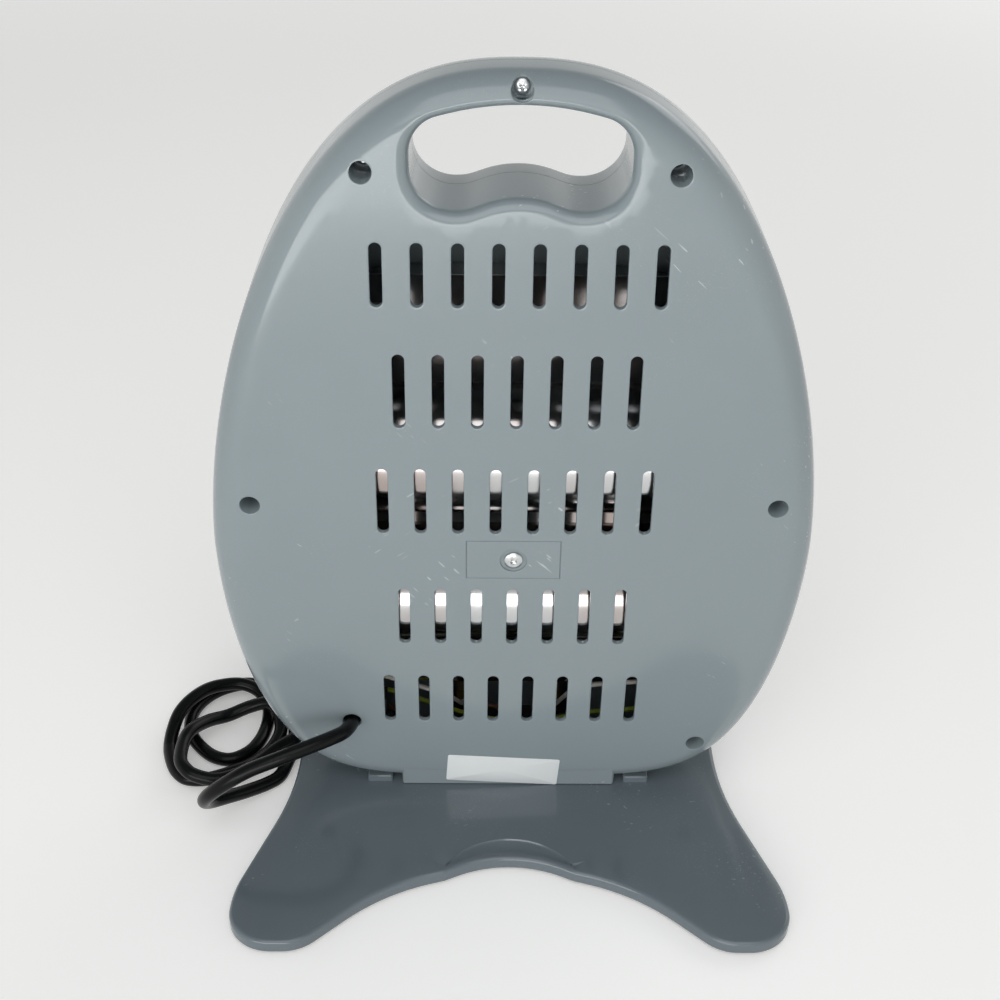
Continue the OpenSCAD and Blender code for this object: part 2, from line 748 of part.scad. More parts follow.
module base_plate() {
    rings = concat(
        [[for (p = base_outline) [p[0], p[1], pad_h]]],
        [for (k = [0 : plate_round_steps])
            let (a = 90 * k / plate_round_steps)
            [for (p = inset(base_outline, plate_round * (1 - cos(a))))
                [p[0], p[1], plate_top - plate_round * (1 - sin(a))]]]);
    color("#59636a") {
        difference() {
            ring_stack(rings, low_tip = [0, 0, pad_h], high_tip = [0, 0, plate_top]);
            plate_pocket();
            for (s = [-1, 1]) {
                rod_z(0, s * step_y, plate_top - step_deep, plate_top + cut, 2 * step_r);
                for (y = base_screw_y) {
                    rod_z(s * base_screw_x, y, pad_h - cut, plate_top + cut, shank_hole_d);
                    rod_z(s * base_screw_x, y, pad_h - cut, base_seat_z, screw_head_d + 4 * fit_gap);
                }
            }
            for (p = pad_places) rod_z(p[0], p[1], pad_h - cut, pad_h + pad_in, pad_d + 2 * slide_gap);
            rod_z(0, tip_y, pad_h - cut, plate_top + cut, plunger_hole_d);
        }
        for (s = [-1, 1]) lug(s);
    }
}

// The hollow underside of the plate, with its bosses and its rib left standing
module plate_pocket() {
    difference() {
        translate([0, 0, pad_h - cut])
            linear_extrude(height = plate_t - plate_skin + cut)
                polygon(inset(base_outline, plate_rim_t));
        for (p = pad_places) rod_z(p[0], p[1], 0, plate_top, pad_d + 2 * pad_ring);
        for (s = [-1, 1]) for (y = base_screw_y) rod_z(s * base_screw_x, y, 0, plate_top, plate_boss_d);
        rod_z(0, tip_y, 0, plate_top, plunger_d + 2 * plunger_ring);
        box([-half_waist, -plate_rib_t / 2, 0], [half_waist, plate_rib_t / 2, plate_top]);
    }
}

// A lug that stands on the plate and enters the body
module lug(s) {
    span(s, lug_x[0], lug_x[1], [lug_y[0], plate_top - lug_root], [lug_y[1], plate_top + lug_h]);
}

module base_pads() {
    color("#1c1c1e") for (p = pad_places) rod_z(p[0], p[1], 0, pad_h + pad_in, pad_d);
}

// A bare label on the apron, where the heater's data would be printed
label_w = 54;
label_h = 18;
label_x = 3.3;
label_low = plate_top + 1.2;
label_turn = -3.4;
label_t = 0.2;
label_lift = 0.6;
module blank_label() {
    low_y = rear_face([0, label_low]);
    lean = atan((rear_face([0, label_low + label_h]) - low_y) / label_h);
    color("#dfe3e4")
        translate([label_x, low_y + label_t / 2, label_low + label_lift])
            rotate([-lean, 0, 0]) rotate([0, label_turn, 0])
                translate([-label_w / 2, -label_t / 2, 0])
                    cube([label_w, label_t, label_h]);
}

// ---- guard ----
guard_set = 4.5;
guard_y = -front_depth + guard_set;
guard_in = rim_wire_d / 2 + 1;
bar_margin = 8;
bar_count = floor((mouth_h - 3 * rim_wire_d - bar_margin) / bar_pitch) + 1;
bar_zs = [for (i = [0 : bar_count - 1]) mouth_z + (i - (bar_count - 1) / 2) * bar_pitch];
bar_step = 11;
upright_x = mouth_w / 4;
upright_back = 0.6;
hoop_sides = 8;
bar_sides = 6;

// Rings of a round tube along a line of points; aside is a direction no stretch runs along
function tube_rings(line, d, sides, aside, looped) =
    let (n = len(line))
    [for (i = [0 : n - 1])
        let (before = looped ? line[(i + n - 1) % n] : line[max(i - 1, 0)])
        let (after = looped ? line[(i + 1) % n] : line[min(i + 1, n - 1)])
        let (along = unit(after - before))
        let (u = unit(cross(along, aside)))
        let (v = cross(along, u))
        [for (k = [0 : sides - 1]) line[i] + d / 2 * (u * cos(360 * k / sides) + v * sin(360 * k / sides))]];
module tube(line, d, sides, aside) {
    ring_stack(tube_rings(line, d, sides, aside, false));
}
module hoop(line, d, sides, aside) {
    n = len(line);
    polyhedron(
        points = [for (ring = tube_rings(line, d, sides, aside, true)) each ring],
        faces = [for (j = [0 : n - 1]) for (k = [0 : sides - 1])
            let (a = j * sides + k)
            let (b = j * sides + (k + 1) % sides)
            let (c = (j + 1) % n * sides + k)
            let (d = (j + 1) % n * sides + (k + 1) % sides)
            each [[a, c, b], [b, c, d]]]);
}

// A bar that leaves the edge wire, bulges forward and comes back to it
bulge_y = guard_y - guard_bulge;
function bowed(low, high, rise, place) = [
    place(low, guard_y),
    place(low + bar_step, rise),
    place(high - bar_step, rise),
    place(high, guard_y)];
module guard_grille() {
    color("#c9ccce") {
        hoop([for (p = mouth(-guard_in)) [p[0], guard_y, p[1]]], rim_wire_d, hoop_sides, [0, 1, 0]);
        for (z = bar_zs) {
            reach = mouth_half(z, -guard_in);
            tube(bowed(-reach, reach, bulge_y, function (x, y) [x, y, z]), bar_d, bar_sides, [0, 0, 1]);
        }
        tall = mouth_h / 2 - guard_in;
        for (x = [-upright_x, 0, upright_x])
            tube(bowed(mouth_z - tall, mouth_z + tall, bulge_y + bar_d * upright_back,
                       function (z, y) [x, y, z]), bar_d, bar_sides, [1, 0, 0]);
    }
}

// Clips that hold the guard's edge wire on the rim of the opening
clip_l = 9;
clip_back = 6;
clip_t = 1;
clip_nose = 1.5;
clip_mouth = 0.6;
module clip(x, z, turn) {
    half = guard_in - fit_gap;
    translate([x, guard_y, z]) rotate([0, turn, 0]) difference() {
        box([-half - rim_wire_d / 2 - clip_nose, -rim_wire_d / 2 - clip_t, -clip_l / 2],
            [half, clip_back, clip_l / 2]);
        rod_z(0, 0, -clip_l, clip_l, rim_wire_d + 4 * fit_gap);
        box([-half - rim_wire_d, -rim_wire_d * clip_mouth / 2, -clip_l],
            [0, rim_wire_d * clip_mouth / 2, clip_l]);
    }
}
module guard_clips() {
    side_z = (bar_zs[4] + bar_zs[5]) / 2;
    color("#b4b8ba") {
        for (z = [side_z, 2 * mouth_z - side_z]) {
            clip(mouth_half(z, -guard_in), z, 0);
            clip(-mouth_half(z, -guard_in), z, 180);
        }
    }
}

// ---- heating parts ----
module reflector() {
    line_back = moved_back(sheet_front, sheet_t);
    color("#d8dbdd") difference() {
        translate([-reflector_w / 2, 0, 0]) rotate([90, 0, 90]) linear_extrude(height = reflector_w)
            polygon(concat(sheet_front, [for (i = [len(line_back) - 1 : -1 : 0]) line_back[i]]));
        for (s = [-1, 1]) for (z = sheet_screw_z)
            rod_y(s * sheet_screw_x, z, sheet_y - cut, sheet_y + 2 * cut, shank_hole_d);
        for (x = cutout_screw_x) rod_y(x, cutout_z, sheet_y - cut, sheet_y + 2 * cut, shank_hole_d);
        rod_y(0, centre_z, sheet_y - 2 * cut, sheet_y + 4 * cut, centre_shank_d + 2 * fit_gap);
    }
}

module reflector_screws() {
    color("#b9bcbe") for (s = [-1, 1]) for (z = sheet_screw_z)
        screw_y(s * sheet_screw_x, z, sheet_y + sheet_t, short_screw_l, 1,
                screw_head_d, screw_head_h, screw_d);
}

module quartz_tube(z) {
    color("#e9e6df", 0.5) difference() {
        rod_x(tube_y, z, -tube_l / 2, tube_l / 2, tube_d);
        rod_x(tube_y, z, -tube_l / 2 - cut, tube_l / 2 + cut, tube_d - 2 * tube_wall);
    }
}
module upper_tube() { quartz_tube(upper_z); }
module lower_tube() { quartz_tube(lower_z); }

// A heating coil: a helix along the tube whose two ends run straight to the tube's ends
helix_steps = 8;
helix_r = (coil_d - coil_wire_d) / 2;
helix_end = 12;
helix_l = tube_l - 2 * helix_end;
function helix_point(i, n) =
    let (a = 360 * i / helix_steps)
    let (grow = min(1, i / helix_steps, (n - i) / helix_steps))
    [helix_l * (i / n - 0.5), helix_r * grow * cos(a), helix_r * grow * sin(a)];
helix_count = helix_steps * coil_turns;
helix_line = concat(
    [[-tube_l / 2, 0, 0], [-helix_l / 2 - coil_wire_d, 0, 0]],
    [for (i = [0 : helix_count]) helix_point(i, helix_count)],
    [[helix_l / 2 + coil_wire_d, 0, 0], [tube_l / 2, 0, 0]]);
echo("least gap between turns of a heating coil",
    min([for (i = [3 * helix_steps : helix_count - 3 * helix_steps])
        norm(helix_line[i] - helix_line[i + helix_steps])]) - coil_wire_d);
module heating_coil(z) {
    color("#6d5a50") translate([0, tube_y, z]) tube(helix_line, coil_wire_d, bar_sides, [1, 0.31, 0.17]);
}
module upper_coil() { heating_coil(upper_z); }
module lower_coil() { heating_coil(lower_z); }

module tube_ends() {
    color("#e8e4d8") for (s = [-1, 1]) for (z = [lower_z, upper_z]) difference() {
        side_rod(s, tube_y, z, end_cap_x, end_cap_x + end_cap_l, end_cap_d);
        side_rod(s, tube_y, z, end_cap_x - cut, tube_l / 2, tube_d + 2 * slide_gap);
        side_rod(s, tube_y, z, end_cap_x, end_cap_x + end_cap_l + cut, pin_d + 2 * slide_gap);
    }
}
pin_end_x = end_cap_x + end_cap_l + pin_out;
module tube_pins() {
    color("#c8b37a") for (s = [-1, 1]) for (z = [lower_z, upper_z])
        side_rod(s, tube_y, z, tube_l / 2, pin_end_x, pin_d);
}

module tube_bracket(s) {
    low = lower_z - bracket_margin;
    high = upper_z + bracket_margin;
    color("#c3c7c9") difference() {
        union() {
            span(s, bracket_x, bracket_x + bracket_t, [sheet_y, low], [tube_y + bracket_back, high]);
            span(s, bracket_x, bracket_x + bracket_flange, [sheet_y, tube_mid_z - bracket_flange_h / 2],
                 [sheet_y + bracket_t, tube_mid_z + bracket_flange_h / 2]);
        }
        for (z = [lower_z, upper_z])
            rod_x(tube_y, z, -half_w, half_w, end_cap_d + 2 * slide_gap);
        for (z = bracket_screw_z)
            rod_y(s * bracket_screw_x, z, sheet_y - 2 * cut, sheet_y + cut, shank_hole_d);
    }
}
module left_bracket() { tube_bracket(1); }
module right_bracket() { tube_bracket(-1); }
module bracket_screws() {
    color("#b9bcbe") for (s = [-1, 1]) for (z = bracket_screw_z)
        screw_y(s * bracket_screw_x, z, sheet_y + bracket_t, short_screw_l, 1,
                small_head_d, screw_head_h, screw_d);
}

// ---- thermal cut-out on the back of the reflector's top ----
cutout_in = 16;
cutout_drop = 17;
cutout_z = sheet_top - cutout_drop;
cutout_x = mouth_w / 2 - cutout_in;
cutout_d = 16;
cutout_h = 8;
cutout_flange = [16, 4];
cutout_flange_t = 1;
cutout_screw_x = [cutout_x - 12, cutout_x + 12];
cutout_screw_l = 3.2;
cutout_head_d = 5;
cutout_head_h = 1.8;
cutout_tab = [0.4, 3];
cutout_tab_x = 4;
cutout_tab_l = 6;
module thermal_cutout() {
    back = sheet_y + sheet_t;
    color("#3a3330") difference() {
        union() {
            rod_y(cutout_x, cutout_z, back, back + cutout_h, cutout_d);
            box([cutout_x - cutout_flange[0], back, cutout_z - cutout_flange[1]],
                [cutout_x + cutout_flange[0], back + cutout_flange_t, cutout_z + cutout_flange[1]]);
            for (x = [cutout_x - cutout_tab_x, cutout_x + cutout_tab_x])
                box([x - cutout_tab[0], back + cutout_h - 1, cutout_z - cutout_tab[1]],
                    [x + cutout_tab[0], back + cutout_h + cutout_tab_l, cutout_z + cutout_tab[1]]);
        }
        for (x = cutout_screw_x) rod_y(x, cutout_z, back - cut, back + 2 * cut, shank_hole_d);
    }
}
module cutout_screws() {
    color("#b9bcbe") for (x = cutout_screw_x)
        screw_y(x, cutout_z, sheet_y + sheet_t + cutout_flange_t, cutout_screw_l, 1,
                cutout_head_d, cutout_head_h, screw_d);
}

// ---- switches ----
function switch_x(s) = s * switch_gap / 2;
module switch_housing(s) {
    color("#1b1c1e") translate([switch_x(s), console_y, switch_z]) difference() {
        union() {
            box([-bezel_w / 2, -bezel_t, -bezel_h / 2], [bezel_w / 2, 0, bezel_h / 2]);
            box([-housing_w / 2, -bezel_t, -housing_h / 2], [housing_w / 2, housing_deep, housing_h / 2]);
        }
        box([-rocker_w / 2 - fit_gap, -bezel_t - cut, -rocker_swing],
            [rocker_w / 2 + fit_gap, housing_deep - housing_floor, rocker_swing]);
        rod_x(pivot_y - console_y, 0, -housing_w, housing_w, rocker_pin_d + 2 * slide_gap);
    }
}
module left_switch_housing() { switch_housing(1); }
module right_switch_housing() { switch_housing(-1); }

module rocker(s) {
    end = rocker_l / 2;
    pin_half = rocker_w / 2 + fit_gap + housing_wall;
    color("#b3372e") translate([switch_x(s), pivot_y, switch_z]) rotate([rocker_tilt, 0, 0]) {
        translate([-rocker_w / 2, 0, 0]) rotate([90, 0, 90]) linear_extrude(height = rocker_w)
            polygon([[-rocker_reach, -end], [-rocker_dip, 0], [-rocker_reach, end],
                     [rocker_side, end], [rocker_back, end / 3],
                     [rocker_back, -end / 3], [rocker_side, -end]]);
        rod_x(0, 0, -pin_half, pin_half, rocker_pin_d);
    }
}
module left_rocker() { rocker(1); }
module right_rocker() { rocker(-1); }

module switch_tabs() {
    color("#c8b37a") for (s = [-1, 1]) for (z = [switch_z - tab_z, switch_z + tab_z])
        box([switch_x(s) - tab_w / 2, console_y + housing_deep, z - tab_t / 2],
            [switch_x(s) + tab_w / 2, console_y + housing_deep + tab_l, z + tab_t / 2]);
}

// ---- tip-over switch ----
module tip_switch_housing() {
    color("#dcdcd6") difference() {
        union() {
            box([-tip_w / 2, tip_y - tip_d / 2, tip_base_z], [tip_w / 2, tip_y + tip_d / 2, tip_top]);
            box([-tip_w / 2 - tip_ear, tip_y - boss_d / 2, tip_base_z],
                [tip_w / 2 + tip_ear, tip_y + boss_d / 2, tip_base_z + tip_ear_t]);
        }
        rod_z(0, tip_y, tip_base_z - cut, tip_top - tip_roof, plunger_d + 2 * slide_gap);
        rod_z(0, tip_y, tip_collar_z - tip_travel - tip_stop_gap, tip_chamber_top,
              tip_collar_d + 4 * fit_gap);
        for (s = [-1, 1])
            rod_z(s * tip_post_x, tip_y, tip_base_z - cut, tip_base_z + tip_ear_t + cut, shank_hole_d);
    }
}
module tip_plunger() {
    color("#2a2a2c") {
        rod_z(0, tip_y, 0, tip_collar_z + tip_collar_t, plunger_d);
        rod_z(0, tip_y, tip_collar_z, tip_collar_z + tip_collar_t, tip_collar_d);
    }
}
spring_turns = 5;
spring_wire = 0.8;
spring_r = plunger_d / 2;
spring_low = tip_collar_z + tip_collar_t + slide_gap + spring_wire / 2;
spring_high = tip_chamber_top - slide_gap - spring_wire / 2;
spring_count = helix_steps * spring_turns;
spring_line = [for (i = [0 : spring_count])
    let (a = 360 * i / helix_steps)
    [spring_r * cos(a), tip_y + spring_r * sin(a),
     spring_low + (spring_high - spring_low) * i / spring_count]];
module tip_spring() {
    color("#a9adb0") tube(spring_line, spring_wire, bar_sides, [0, 0, 1]);
}
module tip_switch_screws() {
    color("#b9bcbe") for (s = [-1, 1]) {
        rod_z(s * tip_post_x, tip_y, plate_top + wall + fit_gap, tip_base_z + tip_ear_t, screw_d);
        rod_z(s * tip_post_x, tip_y, tip_base_z + tip_ear_t, tip_base_z + tip_ear_t + screw_head_h,
              screw_head_d);
    }
}

// ---- terminal block, in three ways ----
way_pitch = 6;
block_x = [21, 21 + 3 * way_pitch];
block_gap = 0.4;
block_deep = 10.2;
block_y = [seam_y + lip_h + block_gap, seam_y + lip_h + block_gap + block_deep];
block_h = 12;
block_stand = 3;
block_z = [plate_top + wall + block_stand, plate_top + wall + block_stand + block_h];
block_ways = [for (i = [0 : 2]) block_x[0] + way_pitch * (i + 0.5)];
block_mid = [block_ways[1] + way_pitch / 2, (block_y[0] + block_y[1]) / 2];
block_screw_d = screw_d - 0.6;
way_in = 2.5;
way_deep = 3;
way_d = 2.6;
module terminal_block() {
    color("#e4e4e0") difference() {
        box([block_x[0], block_y[0], block_z[0]], [block_x[1], block_y[1], block_z[1]]);
        for (x = block_ways) for (y = [block_y[0] + way_in, block_y[1] - way_in])
            rod_z(x, y, block_z[1] - way_deep, block_z[1] + cut, way_d);
        rod_z(block_mid[0], block_mid[1], block_z[0] - cut, block_z[1] + cut, screw_d);
    }
}
module terminal_screw() {
    color("#b9bcbe") {
        rod_z(block_mid[0], block_mid[1], plate_top + 2, block_z[1], block_screw_d);
        rod_z(block_mid[0], block_mid[1], block_z[1], block_z[1] + screw_head_h, block_screw_d + 2.2);
    }
}

// ---- cord grip and the cord's end inside the body ----
module cord_grip() {
    color("#2b2d30") difference() {
        box([cord_x - grip_half, grip_y[0], cord_z - grip_half_h],
            [cord_x + grip_half, grip_y[1], cord_z + grip_half_h]);
        rod_y(cord_x, cord_z, grip_y[0] - cut, grip_y[1] + cut, cord_d + 2 * slide_gap);
        for (x = [cord_x - grip_screw_x, cord_x + grip_screw_x])
            rod_y(x, cord_z, grip_y[0] - cut, grip_y[1] + cut, shank_hole_d);
    }
}
module cord_grip_screws() {
    color("#b9bcbe") for (x = [cord_x - grip_screw_x, cord_x + grip_screw_x])
        screw_y(x, cord_z, grip_y[0], grip_screw_l, -1, screw_head_d, screw_head_h, screw_d);
}
module cord_tail() {
    color("#17181a") rod_y(cord_x, cord_z, tail_end_y, tail_out_y, cord_d);
}

// ---- wires, along points chosen by hand ----
wire_d = 2.2;
// Where the three cores leave the cord's sheath
core_r = 1.45;
function core(a) = [cord_x + core_r * cos(a), tail_end_y, cord_z + core_r * sin(a)];
function smooth(points, steps) =
    let (n = len(points))
    concat([for (i = [0 : n - 2]) for (k = [0 : steps - 1])
        let (t = k / steps)
        let (a = points[max(i - 1, 0)])
        let (b = points[i])
        let (c = points[i + 1])
        let (d = points[min(i + 2, n - 1)])
        (2 * b + t * (c - a) + t * t * (2 * a - 5 * b + 4 * c - d) + t * t * t * (3 * b - a - 3 * c + d)) / 2],
        [points[n - 1]]);
// A wire whose first and last stretches run straight
module wire(points, shade) {
    n = len(points);
    bend = smooth([for (i = [1 : n - 2]) points[i]], wire_steps);
    color(shade) tube(concat([points[0]], bend, [points[n - 1]]), wire_d, bar_sides, [0.2, 0.1, 1]);
}
wire_steps = 3;
wire_stub = 2.5;
way_low = block_z[1] - way_deep + fit_gap;
way_high = block_z[1] + 2;
way_rear = block_y[1] - way_in;
lead_start_y = console_y + housing_deep + tab_l;
lead_z = switch_z + tab_z;
pin_end_y = tube_y + pin_d / 2;
// Leads to the tubes: they run behind the tubes' end caps and beside the middle wells
lead_clear = 0.7;
lead_pin_x = pin_end_x - pin_out / 2;
lead_side_x = middle_well_x - (well_ring_d + wire_d) / 2 - lead_clear;
lead_back_y = tube_y + (end_cap_d + wire_d) / 2 + lead_clear;
lead_turn_y = tube_y + 5;
// The earth wire ends on the side of the right bracket
earth_y = tube_y - 8.7;
earth_z = lower_z - 6.2;
module earth_wire() {
    wire([core(90), core(90) - [0, wire_stub, 0], [67, 1, 51.6], [52, 3, 49], [34, 8, 46], [12, 16, 45],
          [-14, 18, 45], [-38, 14, 47], [-62, 12, 48], [-82, 9, 53], [-bracket_x, earth_y, lower_z - 46],
          [-bracket_x - 6, earth_y, lower_z - 28], [-bracket_x - 5, earth_y, earth_z - 6],
          [-bracket_x - wire_stub, earth_y, earth_z], [-bracket_x - bracket_t, earth_y, earth_z]], "#9aa632");
}
module live_wire() {
    wire([core(210), core(210) - [0, wire_stub, 0], [68, 0.5, 46], [58, 1, 38], [47, 3, 32],
          [block_ways[2] + 2, way_rear, block_z[1] + 4], [block_ways[2], way_rear, way_high],
          [block_ways[2], way_rear, way_low]], "#6b4127");
}
module neutral_wire() {
    wire([core(330), core(330) - [0, wire_stub, 0], [72, -1.5, 46], [60, -2.5, 35], [46, 0, 29], [33, 7, 34],
          [block_ways[1] + 0.5, way_rear, block_z[1] + 6], [block_ways[1], way_rear, way_high],
          [block_ways[1], way_rear, way_low]], "#27539b");
}
module tip_lead() {
    wire([[block_ways[0], block_y[0] + way_in, way_low], [block_ways[0], block_y[0] + way_in, way_high],
          [block_ways[0] - 2, 6.5, 36], [16, 8, 46], [7, tip_y, 46], [4, tip_y, tip_top + wire_stub],
          [4, tip_y, tip_top]], "#6b4127");
}
module upper_tube_lead() {
    wire([[switch_x(1), lead_start_y, lead_z], [switch_x(1), lead_start_y + wire_stub, lead_z],
          [30, 8, 52], [50, 10, 62], [80, 14, lower_z - 36], [lead_pin_x - 4, 18, lower_z - 22],
          [lead_pin_x + 5, 20, lower_z - 6], [lead_pin_x + 5, 21, lower_z + 10],
          [lead_side_x, 22, tube_mid_z - 8], [lead_side_x, lead_back_y, middle_well_z - 15],
          [lead_side_x, lead_back_y, middle_well_z - 1], [lead_pin_x, lead_back_y, upper_z],
          [lead_pin_x, lead_turn_y, upper_z], [lead_pin_x, pin_end_y, upper_z]], "#d9d6cf");
}
module lower_tube_lead() {
    wire([[switch_x(-1), lead_start_y, lead_z], [switch_x(-1), lead_start_y + wire_stub, lead_z],
          [-34, 4, 54], [-60, 7, 60], [-84, 14, lower_z - 46], [3 - lead_pin_x, 20, lower_z - 34],
          [2 - lead_pin_x, lead_back_y, lower_z - 18], [-lead_pin_x, lead_back_y, lower_z],
          [-lead_pin_x, lead_turn_y, lower_z], [-lead_pin_x, pin_end_y, lower_z]], "#d9d6cf");
}

// ---- the cord that the photograph hides ----
cord_floor = cord_d / 2;
// The stored cord: turns that spiral in on the floor and out again on top
store_centre = [0, -118];
store_out_r = 39.6;
store_in_r = 27;
store_layer = cord_d + 0.8;
store_steps = 24;
store_sides = 6;
store_count = ceil(store_steps * store_turns);
function store_point(i) =
    let (t = i / store_count)
    let (a = 360 * i / store_steps)
    let (r = store_out_r - (store_out_r - store_in_r) * (1 - abs(2 * t - 1)))
    let (climb = min(max(2 * store_turns * (t - 0.5) + 0.5, 0), 1))
    [store_centre[0] + r * cos(a), store_centre[1] - r * sin(a), cord_floor + store_layer * climb];
store_line = concat(
    [[store_out_r, store_centre[1] + cord_d, cord_floor]],
    [for (i = [0 : store_count]) store_point(i)],
    [[store_centre[0] - cord_d, store_centre[1] - store_out_r, cord_floor + store_layer]]);
echo("least gap between turns of the stored cord",
    min([for (i = [0 : store_count - store_steps / 2]) for (j = [i + store_steps / 2 : store_count])
        norm(store_point(i) - store_point(j))]) - cord_d);

// ---- the free cord: points on the floor and over it, chosen by hand ----
cord_route = [
    [cord_x, tail_out_y, cord_z], [cord_x, 28, cord_z], [77, 37.5, 54.3], [83, 44.5, 56.2],
    [94.5, 51, 55.6], [105.5, 55, 53.3], [118, 57.5, 49], [126, 59, 44.8], [134.5, 58.5, 37.6],
    [140, 55.5, 30.1], [142.5, 50.5, 22.5], [141, 43.5, 15.8], [135, 35, 10.6], [127.5, 27, 6.6],
    [118.5, 18.5, 3.8], [113, 12.5, 3.4], [110.5, 3, 3.4], [108.8, -7.5, 3.4], [109, -19, 3.4],
    [111.5, -31, 3.4], [116.2, -43, 3.4], [123.5, -53, 3.4], [134.5, -58, 3.4], [142, -58, 3.4],
    [152, -53.5, 3.4], [159.5, -45.5, 3.4], [163.5, -35.5, 3.4], [163.5, -25, 3.4],
    [160, -14.5, 3.4], [152, -4.5, 3.4], [145, 0, 3.4], [138, 0.5, 3.4], [130.5, -5, 3.4],
    [126, -14, 3.4], [124, -25.5, 3.4], [124.5, -37, 3.4], [127, -44, 4.8], [131.5, -49, 6.7],
    [138, -51.5, 8.4], [145.5, -51, 9.5], [155.5, -46, 10.9], [163, -37.5, 11.5],
    [168.5, -28, 10.1], [171, -18.5, 6.3], [171, -7.5, 3.4], [167.5, 4, 3.4], [163.5, 11, 3.4],
    [158, 15, 3.4], [148.5, 15, 3.4], [138, 10.5, 3.4], [127.5, 4, 3.4], [120.5, -5.5, 3.4],
    [116.5, -16.5, 4.4], [116.5, -23.5, 6.8], [118.5, -29.5, 9.9], [123.5, -33.5, 11.5],
    [133.5, -34, 8.4], [144.5, -30, 5.8], [153.5, -22.5, 8.5], [160, -12, 11.6], [162.5, -3, 11.5],
    [162, 9.5, 11.6], [158.5, 16.5, 11.5], [153, 20, 10.3], [143, 20.5, 8.3], [132.5, 15.5, 7.7],
    [123, 8, 8.8], [115, 0.5, 10.9], [107, -6.5, 11.6], [102, -15.5, 11.3],
    [98.5, -29.5, 10.9], [94, -43, 10.9], [87, -55, 10.9], [77, -66.5, 10.9], [65, -77.5, 11],
    [54, -87, 11], [46, -95.5, 7.8], [41, -102.5, 4.4],
    [store_out_r, -107, 3.4], [store_out_r, store_centre[1] + cord_d, 3.4]];

echo("length of the free cord", total(cord_route), "and of the stored cord", total(store_line));
function total(line) = sum_of([for (i = [1 : len(line) - 1]) norm(line[i] - line[i - 1])]);
function sum_of(list) = list * [for (value = list) 1];

module power_cord() {
    color("#17181a") tube(cord_route, cord_d, cord_sides, [0, 0, 1]);
}
module cord_store() {
    color("#17181a") tube(store_line, cord_d, store_sides, [0, 0, 1]);
}

// ---- plug: it lies on its flat side, its pins towards -X ----
plug_z = 6.4;
lead_out_x = -cord_d;
relief_x = -46;
relief_l = 18;
relief_r = 5.6;
relief_root = 1;
rib_count = 3;
rib_pitch = 5;
rib_taper = 0.25;
rib_groove = 0.8;
rib_slope = 0.6;
rib_land = 3;
plug_l = 36;
plug_neck = 12;
plug_neck_w = 14;
plug_w = 26;
plug_t = 12.8;
plug_edge = 1.6;
plug_corners = [2, 8, 3];
pin_pitch = 8;
plug_pin_d = 4;
plug_pin_l = 19;
plug_y = store_centre[1] - store_out_r;
lead_top_z = cord_floor + store_layer;
plug_lead_route = [
    [lead_out_x, plug_y, lead_top_z], [-11, plug_y, lead_top_z], [-15, plug_y, 10.6],
    [-24, plug_y, 8.8], [-34, plug_y, 7], [-40, plug_y, plug_z], [relief_x, plug_y, plug_z]];
module plug_lead() {
    color("#17181a") tube(plug_lead_route, cord_d, cord_sides, [0, 0, 1]);
}
// One layer of the plug's body, drawn in by so much, from its neck to its face
module plug_slab(drawn_in, half_t) {
    neck_x = relief_x - relief_l;
    face_x = neck_x - plug_l + drawn_in;
    half = plug_w / 2 - drawn_in;
    corners = [
        [neck_x, plug_neck_w / 2 - drawn_in, plug_corners[0]],
        [neck_x - plug_neck, half, plug_corners[1]],
        [face_x, half, plug_corners[2]]];
    translate([0, plug_y, plug_z - half_t]) linear_extrude(height = 2 * half_t)
        polygon(rounded(concat(
            corners, [for (i = [2 : -1 : 0]) [corners[i][0], -corners[i][1], corners[i][2]]])));
}
// The ribbed strain relief, from inside the plug's body to the cord
function rib_r(i) = relief_r - rib_taper * i;
module strain_relief() {
    length = relief_l + relief_root;
    translate([relief_x - length, plug_y, plug_z]) rotate([0, 90, 0]) rotate_extrude($fn = rod_sides)
        polygon(concat(
            [[0, 0], [rib_r(0), 0]],
            [for (i = [0 : rib_count - 1])
                let (x = rib_pitch * i + rib_land)
                each [[rib_r(i), x], [rib_r(i) - rib_groove, x + rib_slope],
                      [rib_r(i) - rib_groove, x + rib_land - rib_slope], [rib_r(i + 1), x + rib_land]]],
            [[rib_r(rib_count), length], [0, length]]));
}
module plug_body() {
    color("#17181a") {
        plug_slab(0, plug_t / 2 - plug_edge);
        plug_slab(plug_edge, plug_t / 2);
        strain_relief();
    }
}
module plug_pins() {
    face = relief_x - relief_l - plug_l;
    color("#c9b26a") for (y = [-pin_pitch, 0, pin_pitch])
        rod_x(plug_y + y, plug_z, face - plug_pin_l, face, plug_pin_d);
}

// ---- fasteners ----
module cover_screws() {
    color("#b9bcbe") for (w = wells)
        screw_y(w[0], w[1], w[2], screw_l, 1, screw_head_d, screw_head_h, screw_d);
}
module centre_screw() {
    color("#d0d2d3")
        screw_y(0, centre_z, centre_seat_y, centre_seat_y - sheet_y + centre_nut_t - 1, 1,
                centre_head_d, centre_head_h, centre_shank_d);
}
module centre_nut() {
    color("#b9bcbe") difference() {
        rod_y(0, centre_z, sheet_y - centre_nut_t, sheet_y, centre_nut_d);
        rod_y(0, centre_z, sheet_y - centre_nut_t - cut, sheet_y + cut, centre_shank_d + 2 * slide_gap);
    }
}
module base_screws() {
    color("#b9bcbe") for (s = [-1, 1]) for (y = base_screw_y) {
        rod_z(s * base_screw_x, y, base_seat_z, base_screw_end - 2, screw_d);
        rod_z(s * base_screw_x, y, base_seat_z - screw_head_h, base_seat_z, screw_head_d);
    }
}

